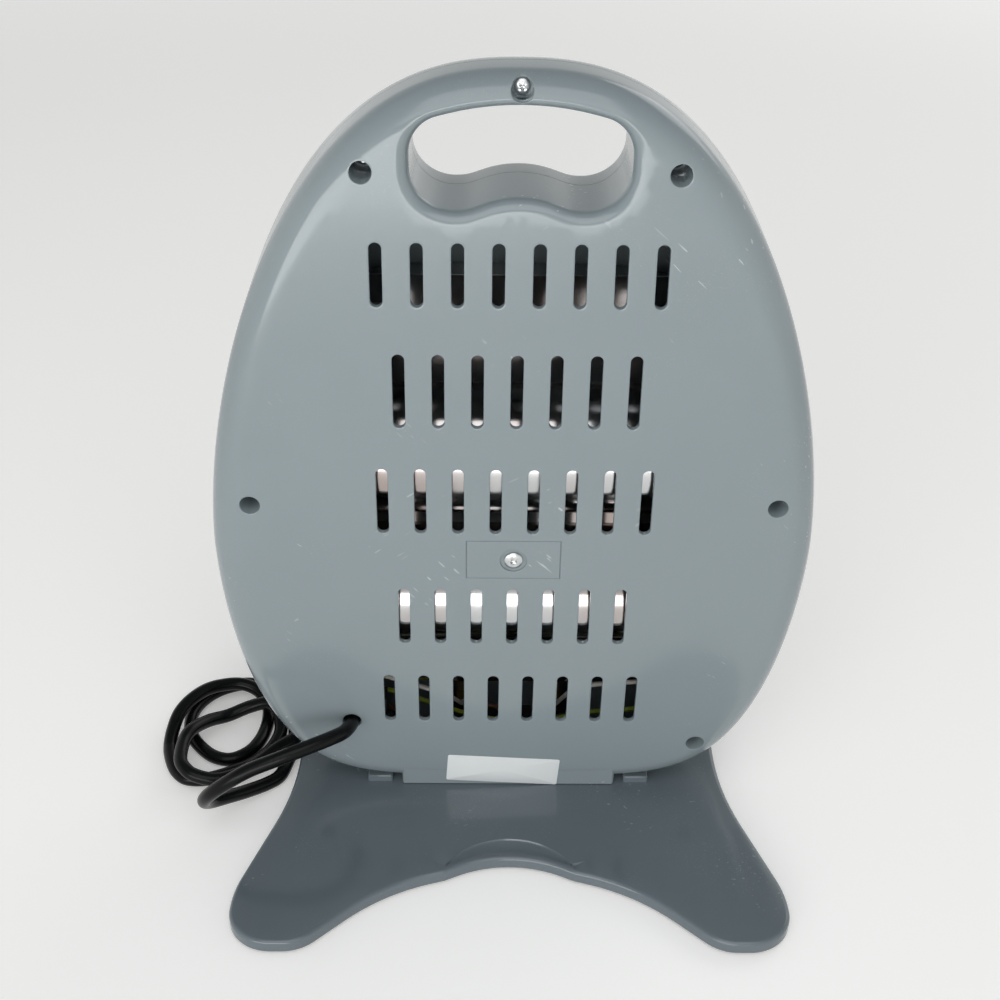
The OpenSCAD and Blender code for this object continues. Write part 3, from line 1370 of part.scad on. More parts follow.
rear_cover();
front_frame();
base_plate();
base_pads();
blank_label();
guard_grille();
guard_clips();
reflector();
upper_tube();
lower_tube();
upper_coil();
lower_coil();
tube_ends();
tube_pins();
left_bracket();
right_bracket();
bracket_screws();
reflector_screws();
left_switch_housing();
right_switch_housing();
left_rocker();
right_rocker();
switch_tabs();
tip_switch_housing();
tip_plunger();
tip_spring();
tip_switch_screws();
thermal_cutout();
cutout_screws();
terminal_block();
terminal_screw();
live_wire();
neutral_wire();
earth_wire();
tip_lead();
upper_tube_lead();
lower_tube_lead();
cord_grip();
cord_grip_screws();
cord_tail();
power_cord();
cord_store();
plug_lead();
plug_body();
plug_pins();
cover_screws();
centre_screw();
centre_nut();
base_screws();
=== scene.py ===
"""A portable two-tube quartz heater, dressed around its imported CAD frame."""

import logging
import math
from dataclasses import dataclass
from enum import Enum
from typing import Callable, Iterable, Sequence

import bmesh
import bpy
import numpy as np
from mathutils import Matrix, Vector
from mathutils.geometry import delaunay_2d_cdt


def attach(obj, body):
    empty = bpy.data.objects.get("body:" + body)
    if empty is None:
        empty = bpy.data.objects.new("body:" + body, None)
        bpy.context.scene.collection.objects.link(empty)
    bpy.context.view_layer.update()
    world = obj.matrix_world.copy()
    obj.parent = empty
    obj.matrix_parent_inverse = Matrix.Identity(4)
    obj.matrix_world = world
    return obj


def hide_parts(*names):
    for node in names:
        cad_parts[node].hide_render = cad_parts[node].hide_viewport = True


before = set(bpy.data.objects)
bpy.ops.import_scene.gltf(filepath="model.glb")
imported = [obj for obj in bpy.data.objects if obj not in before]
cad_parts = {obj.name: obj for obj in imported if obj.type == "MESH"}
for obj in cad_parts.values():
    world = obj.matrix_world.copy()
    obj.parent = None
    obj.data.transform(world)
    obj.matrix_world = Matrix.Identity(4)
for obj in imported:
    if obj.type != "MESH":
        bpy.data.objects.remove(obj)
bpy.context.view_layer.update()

log = logging.getLogger("heater")
MM = 0.001
Point = tuple[float, float, float]
Outline = np.ndarray
Pair = tuple[float, float]
Values = dict[str | int, object]


class Side(Enum):
    """The half of the body that a shell closes."""

    REAR = 1
    FRONT = -1


class Body(Enum):
    """The CAD bodies that pieces ride on."""

    HEATER = "heater"
    LEFT_ROCKER = "left_rocker"
    RIGHT_ROCKER = "right_rocker"
    PLUNGER = "plunger"


# ---------------------------------------------------------------- plane outlines


def inset(points: Outline, depth: float) -> Outline:
    """Moves a counter-clockwise outline inwards along its normals.

    Args:
        points: The outline's corners, one row each.
        depth: How far to move them, in millimetres.

    Returns:
        The moved corners.
    """
    along = np.roll(points, -1, axis=0) - np.roll(points, 1, axis=0)
    along /= np.linalg.norm(along, axis=1)[:, None]
    return points - depth * np.stack([along[:, 1], -along[:, 0]], axis=1)


def evenly(points: Outline, count: int) -> Outline:
    """Spreads an outline's points evenly along its length.

    Args:
        points: The closed outline.
        count: How many points the result has.

    Returns:
        The outline with its new points.
    """
    closed = np.vstack([points, points[:1]])
    length = np.concatenate([[0], np.cumsum(np.linalg.norm(np.diff(closed, axis=0), axis=1))])
    at = np.linspace(0, length[-1], count, endpoint=False)
    return np.stack([np.interp(at, length, closed[:, k]) for k in range(2)], axis=1)


def rounded(corners: Sequence[Point], step: float = 5.0) -> Outline:
    """Rounds the corners of a polygon.

    Args:
        corners: Counter-clockwise corners as across, up and radius.
        step: The largest turn between two points of an arc, in degrees.

    Returns:
        The rounded outline.
    """
    result = []
    count = len(corners)
    spots = [np.array(c[:2], float) for c in corners]
    for i, corner in enumerate(corners):
        back = spots[i - 1] - spots[i]
        ahead = spots[(i + 1) % count] - spots[i]
        back /= np.linalg.norm(back)
        ahead /= np.linalg.norm(ahead)
        half = math.acos(float(np.clip(back @ ahead, -1, 1))) / 2
        radius = corner[2]
        middle = back + ahead
        centre = spots[i] + middle / np.linalg.norm(middle) * radius / math.sin(half)
        first = spots[i] + back * radius / math.tan(half) - centre
        last = spots[i] + ahead * radius / math.tan(half) - centre
        start = math.atan2(first[1], first[0])
        sweep = (math.atan2(last[1], last[0]) - start + math.pi) % (2 * math.pi) - math.pi
        steps = max(1, math.ceil(abs(math.degrees(sweep)) / step))
        for k in range(steps + 1):
            a = start + sweep * k / steps
            result.append(centre + radius * np.array([math.cos(a), math.sin(a)]))
    return np.array(result)


def mirrored(corners: Sequence[Point]) -> list[Point]:
    """Adds the corners of the other side, in running order."""
    return [*corners, *[(-c[0], c[1], c[2]) for c in reversed(corners) if c[0] != 0]]


def superellipse(across: float, up: float, blunt: Pair, count: int) -> Outline:
    """Makes a closed superellipse around the origin.

    Args:
        across: Half its width.
        up: Half its height.
        blunt: The exponents across and up.
        count: How many points it has.

    Returns:
        The outline.
    """
    a = np.linspace(0, 2 * np.pi, 16 * count, endpoint=False)
    x = across * np.sign(np.cos(a)) * np.abs(np.cos(a)) ** (2 / blunt[0])
    z = up * np.sign(np.sin(a)) * np.abs(np.sin(a)) ** (2 / blunt[1])
    return evenly(np.stack([x, z], axis=1), count)


def circle(x: float, z: float, radius: float, count: int = 32) -> Outline:
    """A circle's points, counter-clockwise."""
    a = np.linspace(0, 2 * np.pi, count, endpoint=False)
    return np.stack([x + radius * np.cos(a), z + radius * np.sin(a)], axis=1)


def stadium(x: float, low: float, high: float, radius: float, steps: int = 12) -> Outline:
    """An upright slot's outline, with round ends."""
    a = np.linspace(0, np.pi, steps + 1)
    top = np.stack([x + radius * np.cos(a), high + radius * np.sin(a)], axis=1)
    bottom = np.stack([x - radius * np.cos(a), low - radius * np.sin(a)], axis=1)
    return np.vstack([top, bottom])


def distance(points: Outline, outline: Outline) -> np.ndarray:
    """Distance of each point from a closed outline."""
    start = outline
    along = np.roll(outline, -1, axis=0) - start
    rel = points[:, None, :] - start[None]
    share = np.clip((rel * along).sum(2) / (along * along).sum(1), 0, 1)
    return np.sqrt(((rel - share[..., None] * along) ** 2).sum(2)).min(1)


def inside(points: Outline, outline: Outline) -> np.ndarray:
    """Tells for each point whether a closed outline holds it."""
    x, z = points[:, 0][:, None], points[:, 1][:, None]
    ax, az = outline[:, 0], outline[:, 1]
    bx, bz = np.roll(ax, -1), np.roll(az, -1)
    crosses = (az > z) != (bz > z)
    with np.errstate(divide="ignore", invalid="ignore"):
        at = ax + (z - az) * (bx - ax) / (bz - az)
    return (crosses & (x < at)).sum(1) % 2 == 1


def smooth_line(points: Sequence[Point], spacing: float) -> np.ndarray:
    """Runs a smooth curve through points.

    Args:
        points: The points to pass.
        spacing: About how far apart the curve's own points are.

    Returns:
        The curve's points.
    """
    p = np.array(points, float)
    out = []
    for i in range(len(p) - 1):
        a, b, c, d = p[max(i - 1, 0)], p[i], p[i + 1], p[min(i + 2, len(p) - 1)]
        steps = max(1, round(float(np.linalg.norm(c - b)) / spacing))
        for k in range(steps):
            t = k / steps
            out.append(0.5 * (2 * b + t * (c - a) + t * t * (2 * a - 5 * b + 4 * c - d)
                              + t**3 * (3 * b - a - 3 * c + d)))
    out.append(p[-1])
    return np.array(out)


def rounding(depth: np.ndarray, radius: float) -> np.ndarray:
    """How far a rounded edge falls back at each distance from the edge."""
    c = np.clip(radius - depth, 0, radius)
    return radius - np.sqrt(radius * radius - c * c)


def at_x(x: float, points: Outline) -> np.ndarray:
    """Puts a plane outline at one place along X."""
    return np.column_stack([np.full(len(points), x), points])


def at_y(points: Outline, y: float | np.ndarray) -> np.ndarray:
    """Puts a plane outline at one place along Y, or at one for each point."""
    return np.column_stack([points[:, 0], np.broadcast_to(y, len(points)), points[:, 1]])


def at_z(points: Outline, z: float) -> np.ndarray:
    """Puts a plane outline at one height."""
    return np.column_stack([points, np.full(len(points), z)])


def grid_over(outline: Outline, across: float, up: float) -> tuple[np.ndarray, np.ndarray]:
    """Lays a grid over an outline's box and gives its coordinates both ways."""
    low, high = outline.min(0), outline.max(0)
    return np.meshgrid(np.arange(low[0], high[0], across), np.arange(low[1], high[1], up))


def triangulated(loops: Sequence[Outline],
                 more: Sequence[Outline] = ()) -> tuple[Outline, np.ndarray, list[list[int]]]:
    """Fills closed outlines with triangles that keep their lines.

    Args:
        loops: The closed outlines.
        more: Further points, between the outlines.

    Returns:
        All points, the triangles and the point numbers of each outline.
    """
    numbers, at = [], 0
    for loop in loops:
        numbers.append(range(at, at + len(loop)))
        at += len(loop)
    edges = [(n[k - 1], n[k]) for n in numbers for k in range(len(n))]
    points = [Vector(p) for p in np.vstack([*loops, *more])]
    spots, _, faces, origins, *_ = delaunay_2d_cdt(points, edges, [], 0, 1e-5, True)
    found = {origin: i for i, group in enumerate(origins) for origin in group}
    return np.array([tuple(v) for v in spots]), np.array(faces), [[found[k] for k in n] for n in numbers]


# ---------------------------------------------------------------- mesh forms


class Form:
    """Gathers the vertices and faces of a piece, in millimetres."""

    def __init__(self) -> None:
        """Starts empty."""
        self.spots: list[np.ndarray] = []
        self.faces: list[tuple[int, ...]] = []
        self.count = 0

    def add(self, points: Iterable[Sequence[float]]) -> list[int]:
        """Adds points and returns their numbers."""
        block = np.array(list(points), float).reshape(-1, 3)
        self.spots.append(block)
        first = self.count
        self.count += len(block)
        return list(range(first, self.count))

    def bridge(self, low: Sequence[int], high: Sequence[int]) -> None:
        """Joins two rings of the same count with four-sided faces."""
        n = len(low)
        for k in range(n):
            self.faces.append((low[k], low[(k + 1) % n], high[(k + 1) % n], high[k]))

    def fan(self, ring: Sequence[int], tip: Sequence[float]) -> None:
        """Closes a ring towards a point."""
        centre = self.add([tip])[0]
        n = len(ring)
        self.faces.extend((ring[k], ring[(k + 1) % n], centre) for k in range(n))

    def stack(self, rings: Sequence[np.ndarray], closed: bool = True) -> list[list[int]]:
        """Joins rings of points in order, and closes both ends flat where asked."""
        numbers = [self.add(ring) for ring in rings]
        for low, high in zip(numbers, numbers[1:]):
            self.bridge(low, high)
        if closed:
            self.fan(numbers[0], np.mean(rings[0], axis=0))
            self.fan(numbers[-1], np.mean(rings[-1], axis=0))
        return numbers

    def tube(self, line: np.ndarray, diameter: float, sides: int, looped: bool = False) -> None:
        """Sweeps a round section along a line.

        Args:
            line: The centre line's points.
            diameter: The section's diameter.
            sides: How many sides the section has.
            looped: Whether the line closes on itself.
        """
        n = len(line)
        if looped:
            along = np.roll(line, -1, axis=0) - np.roll(line, 1, axis=0)
        else:
            along = np.gradient(line, axis=0)
        along /= np.linalg.norm(along, axis=1)[:, None]
        aside = np.zeros(3)
        aside[int(np.argmin(np.abs(along[0])))] = 1
        side = np.cross(along[0], aside)
        rings = []
        a = np.linspace(0, 2 * np.pi, sides, endpoint=False)
        for i in range(n):
            side = side - along[i] * (side @ along[i])
            side /= np.linalg.norm(side)
            other = np.cross(along[i], side)
            rings.append(line[i] + diameter / 2 * (np.cos(a)[:, None] * side + np.sin(a)[:, None] * other))
        numbers = self.stack(rings, closed=not looped)
        if looped:
            self.bridge(numbers[-1], numbers[0])

    def lathe(self, profile: Sequence[Pair], place: Callable[[float, float, float], Point],
              sides: int = 32) -> None:
        """Turns a profile round an axis.

        Args:
            profile: Points as radius and distance along the axis; the ends lie on the axis.
            place: Gives a point from its two cross coordinates and its distance along the axis.
            sides: How many sides the solid has.
        """
        a = np.linspace(0, 2 * np.pi, sides, endpoint=False)
        rings = [np.array([place(r * math.cos(t), r * math.sin(t), h) for t in a]) for r, h in profile[1:-1]]
        numbers = self.stack(rings, closed=False)
        self.fan(numbers[0], place(0, 0, profile[0][1]))
        self.fan(numbers[-1], place(0, 0, profile[-1][1]))

    def block(self, low: Point, high: Point, soft: float = 0.3) -> None:
        """Adds a box with narrow chamfers along all its edges."""
        low_a, high_a = np.array(low, float), np.array(high, float)
        soft = min(soft, float((high_a - low_a).min()) * 0.3)

        def ring(shrink: float, z: float) -> np.ndarray:
            """Gives the box's section at one height, with its corners cut."""
            (x0, y0), (x1, y1), c = low_a[:2] + shrink, high_a[:2] - shrink, soft
            return np.array([(x0 + c, y0, z), (x1 - c, y0, z), (x1, y0 + c, z), (x1, y1 - c, z),
                             (x1 - c, y1, z), (x0 + c, y1, z), (x0, y1 - c, z), (x0, y0 + c, z)])

        bottom, top = low_a[2], high_a[2]
        self.stack([ring(soft, bottom), ring(0, bottom + soft), ring(0, top - soft), ring(soft, top)])

    def patch(self, points: np.ndarray, triangles: np.ndarray) -> int:
        """Adds a triangulated patch and returns its first point's number."""
        first = self.add(points)[0]
        self.faces.extend(tuple(int(v) + first for v in triangle) for triangle in triangles)
        return first

    def mesh(self, name: str) -> bpy.types.Mesh:
        """Turns the points and faces into a mesh, in metres."""
        mesh = bpy.data.meshes.new(name)
        mesh.from_pydata((np.vstack(self.spots) * MM).tolist(), [], self.faces)
        return mesh

    def piece(self, name: str, material: bpy.types.Material, body: Body, smooth_angle: float = 35.0,
              merge: bool = True) -> bpy.types.Object:
        """Makes the object: merged, facing outwards and riding on its body.

        Args:
            name: The piece's name.
            material: Its finish.
            body: The CAD body it rides on.
            smooth_angle: Edges that turn more than this stay sharp, in degrees.
            merge: Whether doubled points are merged and faces turned outwards.

        Returns:
            The new object.
        """
        mesh = self.mesh(name)
        if merge:
            join_meshes([mesh], merge=2e-6)
        mesh.validate()
        return finish_piece(name, mesh, material, body, smooth_angle)


def join_meshes(meshes: Sequence[bpy.types.Mesh], merge: float = 0.0,
                outwards: bool = True) -> bpy.types.Mesh:
    """Joins meshes into the first of them.

    Args:
        meshes: The meshes.
        merge: The distance within which points are merged, in metres, or 0.
        outwards: Whether the faces are turned outwards.

    Returns:
        The first mesh, which now holds them all.
    """
    work = bmesh.new()
    for mesh in meshes:
        work.from_mesh(mesh)
    if merge:
        bmesh.ops.remove_doubles(work, verts=work.verts, dist=merge)
    if outwards:
        bmesh.ops.recalc_face_normals(work, faces=work.faces)
    work.to_mesh(meshes[0])
    work.free()
    return meshes[0]


def finish_piece(name: str, mesh: bpy.types.Mesh, material: bpy.types.Material | None, body: Body,
                 smooth_angle: float = 35.0) -> bpy.types.Object:
    """Wraps a mesh in an object that rides on a body.

    Args:
        name: The piece's name.
        mesh: Its mesh, in metres.
        material: Its finish, or None where the mesh has its own.
        body: The body it rides on.
        smooth_angle: Edges that turn more than this stay sharp, in degrees.

    Returns:
        The new object.
    """
    mesh.name = name
    if material is not None:
        mesh.materials.clear()
        mesh.materials.append(material)
    mesh.shade_smooth()
    mesh.set_sharp_from_angle(angle=math.radians(smooth_angle))
    piece = bpy.data.objects.new(name, mesh)
    bpy.context.scene.collection.objects.link(piece)
    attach(piece, body.value)
    log.info("%s: %d faces on %s", name, len(mesh.polygons), body.value)
    return piece


# ---------------------------------------------------------------- geometry nodes


class NodeTree:
    """A node tree with short ways to add and feed nodes."""

    def __init__(self, tree: bpy.types.NodeTree) -> None:
        """Wraps a tree.

        Args:
            tree: The tree that the nodes go into.
        """
        self.tree = tree

    def feed(self, slot: bpy.types.NodeSocket, value: object) -> None:
        """Gives an input its plain value, or the socket that it follows."""
        if isinstance(value, bpy.types.NodeSocket):
            self.tree.links.new(value, slot)
        else:
            slot.default_value = value

    def node(self, kind: str, values: Values | None = None, **settings: object) -> bpy.types.Node:
        """Adds a node.

        Args:
            kind: The node's type.
            values: The inputs' plain values or source sockets, by name or number.
            settings: The node's own settings.

        Returns:
            The node.
        """
        made = self.tree.nodes.new(kind)
        for key, value in settings.items():
            setattr(made, key, value)
        for key, value in (values or {}).items():
            self.feed(made.inputs[key], value)
        return made

    def math(self, operation: str, first: object, second: object = 0.0) -> bpy.types.NodeSocket:
        """Adds a math node on sockets or plain numbers."""
        return self.node("ShaderNodeMath", {0: first, 1: second}, operation=operation).outputs[0]

    def mixed(self, share: bpy.types.NodeSocket, first: object, second: object) -> bpy.types.NodeSocket:
        """Mixes two colours by a share."""
        return self.node("ShaderNodeMix", {"Factor": share, 6: first, 7: second}, data_type="RGBA").outputs[2]

    def ends(self, inputs: dict[str, tuple[str, object]], outputs: dict[str, str]) -> None:
        """Builds a group's interface.

        Args:
            inputs: Each input's name with its socket type and default.
            outputs: Each output's name with its socket type.
        """
        self.keys: dict[str, str] = {}
        for label, (kind, default) in inputs.items():
            socket = self.tree.interface.new_socket(label, in_out="INPUT", socket_type=f"NodeSocket{kind}")
            if default is not None:
                socket.default_value = default
            self.keys[label] = socket.identifier
        for label, kind in outputs.items():
            self.tree.interface.new_socket(label, in_out="OUTPUT", socket_type=f"NodeSocket{kind}")
        self.start = self.node("NodeGroupInput").outputs
        self.end = self.node("NodeGroupOutput").inputs


class GeometryTree(NodeTree):
    """A small geometry node tree with named inputs."""

    def __init__(self, name: str, inputs: dict[str, tuple[str, object]]) -> None:
        """Builds the tree's interface.

        Args:
            name: The tree's name.
            inputs: Each input's name with its socket type and default.
        """
        super().__init__(bpy.data.node_groups.new(name, "GeometryNodeTree"))
        self.ends({"Geometry": ("Geometry", None), **inputs, "Finish": ("Material", None)},
                  {"Geometry": "Geometry"})

    def finish(self, geometry: bpy.types.NodeSocket) -> None:
        """Realizes the instances, sets the finish and ends the tree."""
        real = self.node("GeometryNodeRealizeInstances", {0: geometry}).outputs[0]
        paint = self.node("GeometryNodeSetMaterial", {"Geometry": real, "Material": self.start["Finish"]})
        self.feed(self.end[0], paint.outputs[0])

    def sweep(self, line: bpy.types.NodeSocket) -> bpy.types.NodeSocket:
        """Sweeps a round section of the given thickness and sides along a curve."""
        half = self.math("MULTIPLY", self.start["Thickness"], 0.5)
        section = self.node("GeometryNodeCurvePrimitiveCircle",
                            {"Radius": half, "Resolution": self.start["Sides"]}, mode="RADIUS")
        return self.node("GeometryNodeCurveToMesh", {
            "Curve": line, "Profile Curve": section.outputs[0], "Fill Caps": True}).outputs[0]

    def turned(self, angles: bpy.types.NodeSocket) -> bpy.types.NodeSocket:
        """Makes a rotation out of three angles."""
        return self.node("FunctionNodeEulerToRotation", {0: angles}).outputs[0]

    def run(self, carrier: bpy.types.Mesh, values: dict[str, object]) -> bpy.types.Mesh:
        """Runs the tree on a mesh.

        Args:
            carrier: The mesh that goes in.
            values: The inputs' values by their names.

        Returns:
            The plain mesh that comes out.
        """
        holder = bpy.data.objects.new("carrier", carrier)
        bpy.context.scene.collection.objects.link(holder)
        step = holder.modifiers.new("make", "NODES")
        step.node_group = self.tree
        for label, value in values.items():
            step[self.keys[label]] = value
        graph = bpy.context.evaluated_depsgraph_get()
        graph.update()
        mesh = bpy.data.meshes.new_from_object(holder.evaluated_get(graph))
        bpy.data.objects.remove(holder)
        return mesh


def make_scatter_tree() -> GeometryTree:
    """Builds the tree that puts a master piece on points, turned to face a way.

    Returns:
        The tree, with inputs Master, Turn, Seed, Spin and Finish.
    """
    t = GeometryTree("place_fasteners", {
        "Master": ("Object", None), "Turn": ("Vector", (0.0, 0.0, 0.0)), "Seed": ("Int", 3),
        "Spin": ("Float", 0.0)})
    info = t.node("GeometryNodeObjectInfo", {"Object": t.start["Master"]})
    random = t.node("FunctionNodeRandomValue", {3: t.start["Spin"], "Seed": t.start["Seed"]},
                    data_type="FLOAT")
    spin = t.node("ShaderNodeCombineXYZ", {"Z": random.outputs[1]})
    both = t.node("FunctionNodeRotateRotation",
                  {"Rotation": t.turned(t.start["Turn"]), "Rotate By": t.turned(spin.outputs[0])},
                  rotation_space="LOCAL")
    place = t.node("GeometryNodeInstanceOnPoints", {
        "Points": t.start["Geometry"], "Instance": info.outputs["Geometry"], "Rotation": both.outputs[0]})
    t.finish(place.outputs[0])
    return t


def make_wire_tree() -> GeometryTree:
    """Builds the tree that bends wires along the edges of a mesh.

    Returns:
        The tree, with inputs Thickness, Bend radius, Bend steps, Sides and Finish.
    """
    t = GeometryTree("bend_wires", {
        "Thickness": ("Float", 0.002), "Bend radius": ("Float", 0.004), "Bend steps": ("Int", 8),
        "Sides": ("Int", 16)})
    line = t.node("GeometryNodeMeshToCurve", {"Mesh": t.start["Geometry"]})
    bend = t.node("GeometryNodeFilletCurve")
    if bend.inputs.get("Mode") is not None:
        bend.inputs["Mode"].default_value = "Poly"
    else:
        bend.mode = "POLY"
    t.feed(bend.inputs["Curve"], line.outputs[0])
    t.feed(bend.inputs["Radius"], t.start["Bend radius"])
    t.feed(bend.inputs["Count"], t.start["Bend steps"])
    t.finish(t.sweep(bend.outputs[0]))
    return t


def make_coil_tree() -> GeometryTree:
    """Builds the tree that winds a coil about an axis along X, at each point of a mesh.

    Returns:
        The tree, with inputs Turns, Steps, Radius, Length, Thickness, Sides, Axis turn and Finish.
    """
    t = GeometryTree("wind_coils", {
        "Turns": ("Float", 22.0), "Steps": ("Int", 24), "Radius": ("Float", 0.003), "Length": ("Float", 0.17),
        "Thickness": ("Float", 0.001), "Sides": ("Int", 8), "Axis turn": ("Vector", (0.0, math.pi / 2, 0.0))})
    spiral = t.node("GeometryNodeCurveSpiral", {
        "Resolution": t.start["Steps"], "Rotations": t.start["Turns"], "Start Radius": t.start["Radius"],
        "End Radius": t.start["Radius"], "Height": t.start["Length"]})
    shift = t.node("ShaderNodeCombineXYZ", {"Z": t.math("MULTIPLY", t.start["Length"], -0.5)})
    centre = t.node("GeometryNodeTransform", {
        "Geometry": t.sweep(spiral.outputs[0]), "Translation": shift.outputs[0]})
    place = t.node("GeometryNodeInstanceOnPoints", {
        "Points": t.start["Geometry"], "Instance": centre.outputs[0],
        "Rotation": t.turned(t.start["Axis turn"])})
    t.finish(place.outputs[0])
    return t


def points_mesh(points: Iterable[Sequence[float]], edges: Sequence[tuple[int, int]] = ()) -> bpy.types.Mesh:
    """Makes a mesh of loose points, or of edges, from millimetres."""
    mesh = bpy.data.meshes.new("points")
    mesh.from_pydata([tuple(np.array(p, float) * MM) for p in points], list(edges), [])
    return mesh


# ---------------------------------------------------------------- shader groups and finishes


class ShaderGroup(NodeTree):
    """A shader node group with named inputs and outputs."""

    def __init__(self, name: str, inputs: dict[str, float], outputs: Sequence[str]) -> None:
        """Builds the group's interface.

        Args:
            name: The group's name.
            inputs: The number inputs and their defaults.
            outputs: The number outputs.
        """
        super().__init__(bpy.data.node_groups.new(name, "ShaderNodeTree"))
        numbers = {label: ("Float", value) for label, value in inputs.items()}
        self.ends({"Vector": ("Vector", None), **numbers}, {label: "Float" for label in outputs})

    def noise(self, scale: object, detail: float = 2.0, rough: float = 0.5,
              stretch: Point | None = None, turn: Point = (0, 0, 0)) -> bpy.types.NodeSocket:
        """Adds a noise texture over the object, stretched and turned where asked."""
        source = self.start["Vector"]
        if stretch is not None:
            source = self.node("ShaderNodeMapping", {"Scale": stretch, "Rotation": turn, "Vector": source},
                               vector_type="TEXTURE").outputs[0]
        return self.node("ShaderNodeTexNoise", {
            "Scale": scale, "Detail": detail, "Roughness": rough, "Vector": source}).outputs[0]

    def ramp(self, source: bpy.types.NodeSocket, low: float, high: float) -> bpy.types.NodeSocket:
        """Maps a value's range to 0 to 1, cut off at both ends."""
        return self.node("ShaderNodeMapRange", {"From Min": low, "From Max": high, "Value": source},
                         clamp=True, interpolation_type="SMOOTHSTEP").outputs[0]


def make_wear_group() -> ShaderGroup:
    """Builds the group for scratches, smears and dust.

    Returns:
        The group, with outputs Scratches, Smears and Dust, each from 0 to 1.
    """
    g = ShaderGroup("wear", {"Scratch amount": 0.5, "Smear amount": 0.5, "Dust amount": 0.5},
                    ("Scratches", "Smears", "Dust"))
    needle = (1.0, 0.045, 0.045)
    found = None
    for turn, scale in (((0.0, 0.6, 0.2), 34.0), ((0.0, -0.75, -0.2), 42.0), ((0.2, 1.45, 0.3), 26.0)):
        line = g.ramp(g.noise(scale, 0.0, stretch=needle, turn=turn), 0.77, 0.79)
        gate = g.ramp(g.noise(scale * 0.55, 1.0), 0.6, 0.68)
        both = g.math("MULTIPLY", line, gate)
        found = both if found is None else g.math("MAXIMUM", found, both)
    smear = g.ramp(g.noise(9.0, 5.0, 0.62, stretch=(1.0, 1.0, 0.42), turn=(0.2, 0.5, 0.0)), 0.48, 0.72)
    grain = g.ramp(g.noise(1900.0, 1.0), 0.66, 0.72)
    patch = g.ramp(g.noise(24.0, 3.0), 0.42, 0.7)
    for name, amount, value in (("Scratches", "Scratch amount", found), ("Smears", "Smear amount", smear),
                                ("Dust", "Dust amount", g.math("MULTIPLY", grain, patch))):
        g.feed(g.end[name], g.math("MULTIPLY", value, g.start[amount]))
    return g


def make_relief_group() -> ShaderGroup:
    """Builds the group for the skin of moulded and rolled surfaces.

    Returns:
        The group, with outputs Skin, a height from 0 to 1, and Tone, a slow variation from 0 to 1.
    """
    g = ShaderGroup("relief", {"Fine scale": 900.0, "Fine share": 0.5, "Slow scale": 14.0}, ("Skin", "Tone"))
    fine = g.noise(g.start["Fine scale"])
    slow = g.noise(g.start["Slow scale"], 3.0)
    blend = g.node("ShaderNodeMix", {"Factor": g.start["Fine share"], 2: slow, 3: fine}, data_type="FLOAT")
    g.feed(g.end["Skin"], blend.outputs[0])
    g.feed(g.end["Tone"], g.ramp(slow, 0.3, 0.7))
    return g


def make_line_group() -> ShaderGroup:
    """Builds the group for drawn or brushed lines along one axis.

    Returns:
        The group, with output Lines, from 0 to 1.
    """
    g = ShaderGroup("lines", {"Across": 900.0, "Along": 8.0}, ("Lines",))
    along, across = g.start["Along"], g.start["Across"]
    scale = g.node("ShaderNodeCombineXYZ", {"X": along, "Y": across, "Z": across})
    mapped = g.node("ShaderNodeVectorMath", {0: g.start["Vector"], 1: scale.outputs[0]}, operation="MULTIPLY")
    noise = g.node("ShaderNodeTexNoise", {"Scale": 1.0, "Detail": 3.0, "Vector": mapped.outputs[0]})
    g.feed(g.end["Lines"], noise.outputs[0])
    return g


def linear(text: str) -> tuple[float, float, float, float]:
    """Turns a display colour such as 8c989c into linear light."""
    parts = [int(text[i:i + 2], 16) / 255 for i in (0, 2, 4)]
    r, g, b = [c / 12.92 if c <= 0.04045 else ((c + 0.055) / 1.055) ** 2.4 for c in parts]
    return (r, g, b, 1.0)


@dataclass(frozen=True)
class Finish:
    """How one material of the heater looks."""

    name: str
    colour: str
    # Second colour, mixed in at random: wear on most finishes, and a painted reflection on the bright sheet.
    worn_and_reflection_tone: str
    roughness: float = 0.35
    rough_spread: float = 0.1
    metallic: float = 0.0
    coat: float = 0.0
    bump: float = 0.05
    bump_mm: float = 0.05
    fine_scale: float = 900.0
    fine_share: float = 0.5
    slow_scale: float = 14.0
    tone: float = 0.25
    scratches: float = 0.0
    smears: float = 0.4
    dust: float = 0.15
    lines: Pair | None = None
    clear: float = 0.0
    ior: float = 1.5


SCRATCH_COLOUR, SCRATCH_SHARE = "e8eef0", 0.75
DUST_COLOUR, DUST_SHARE = "e4e4e2", 0.8
COAT_ROUGHNESS = 0.08
SMOOTHEST = 0.02


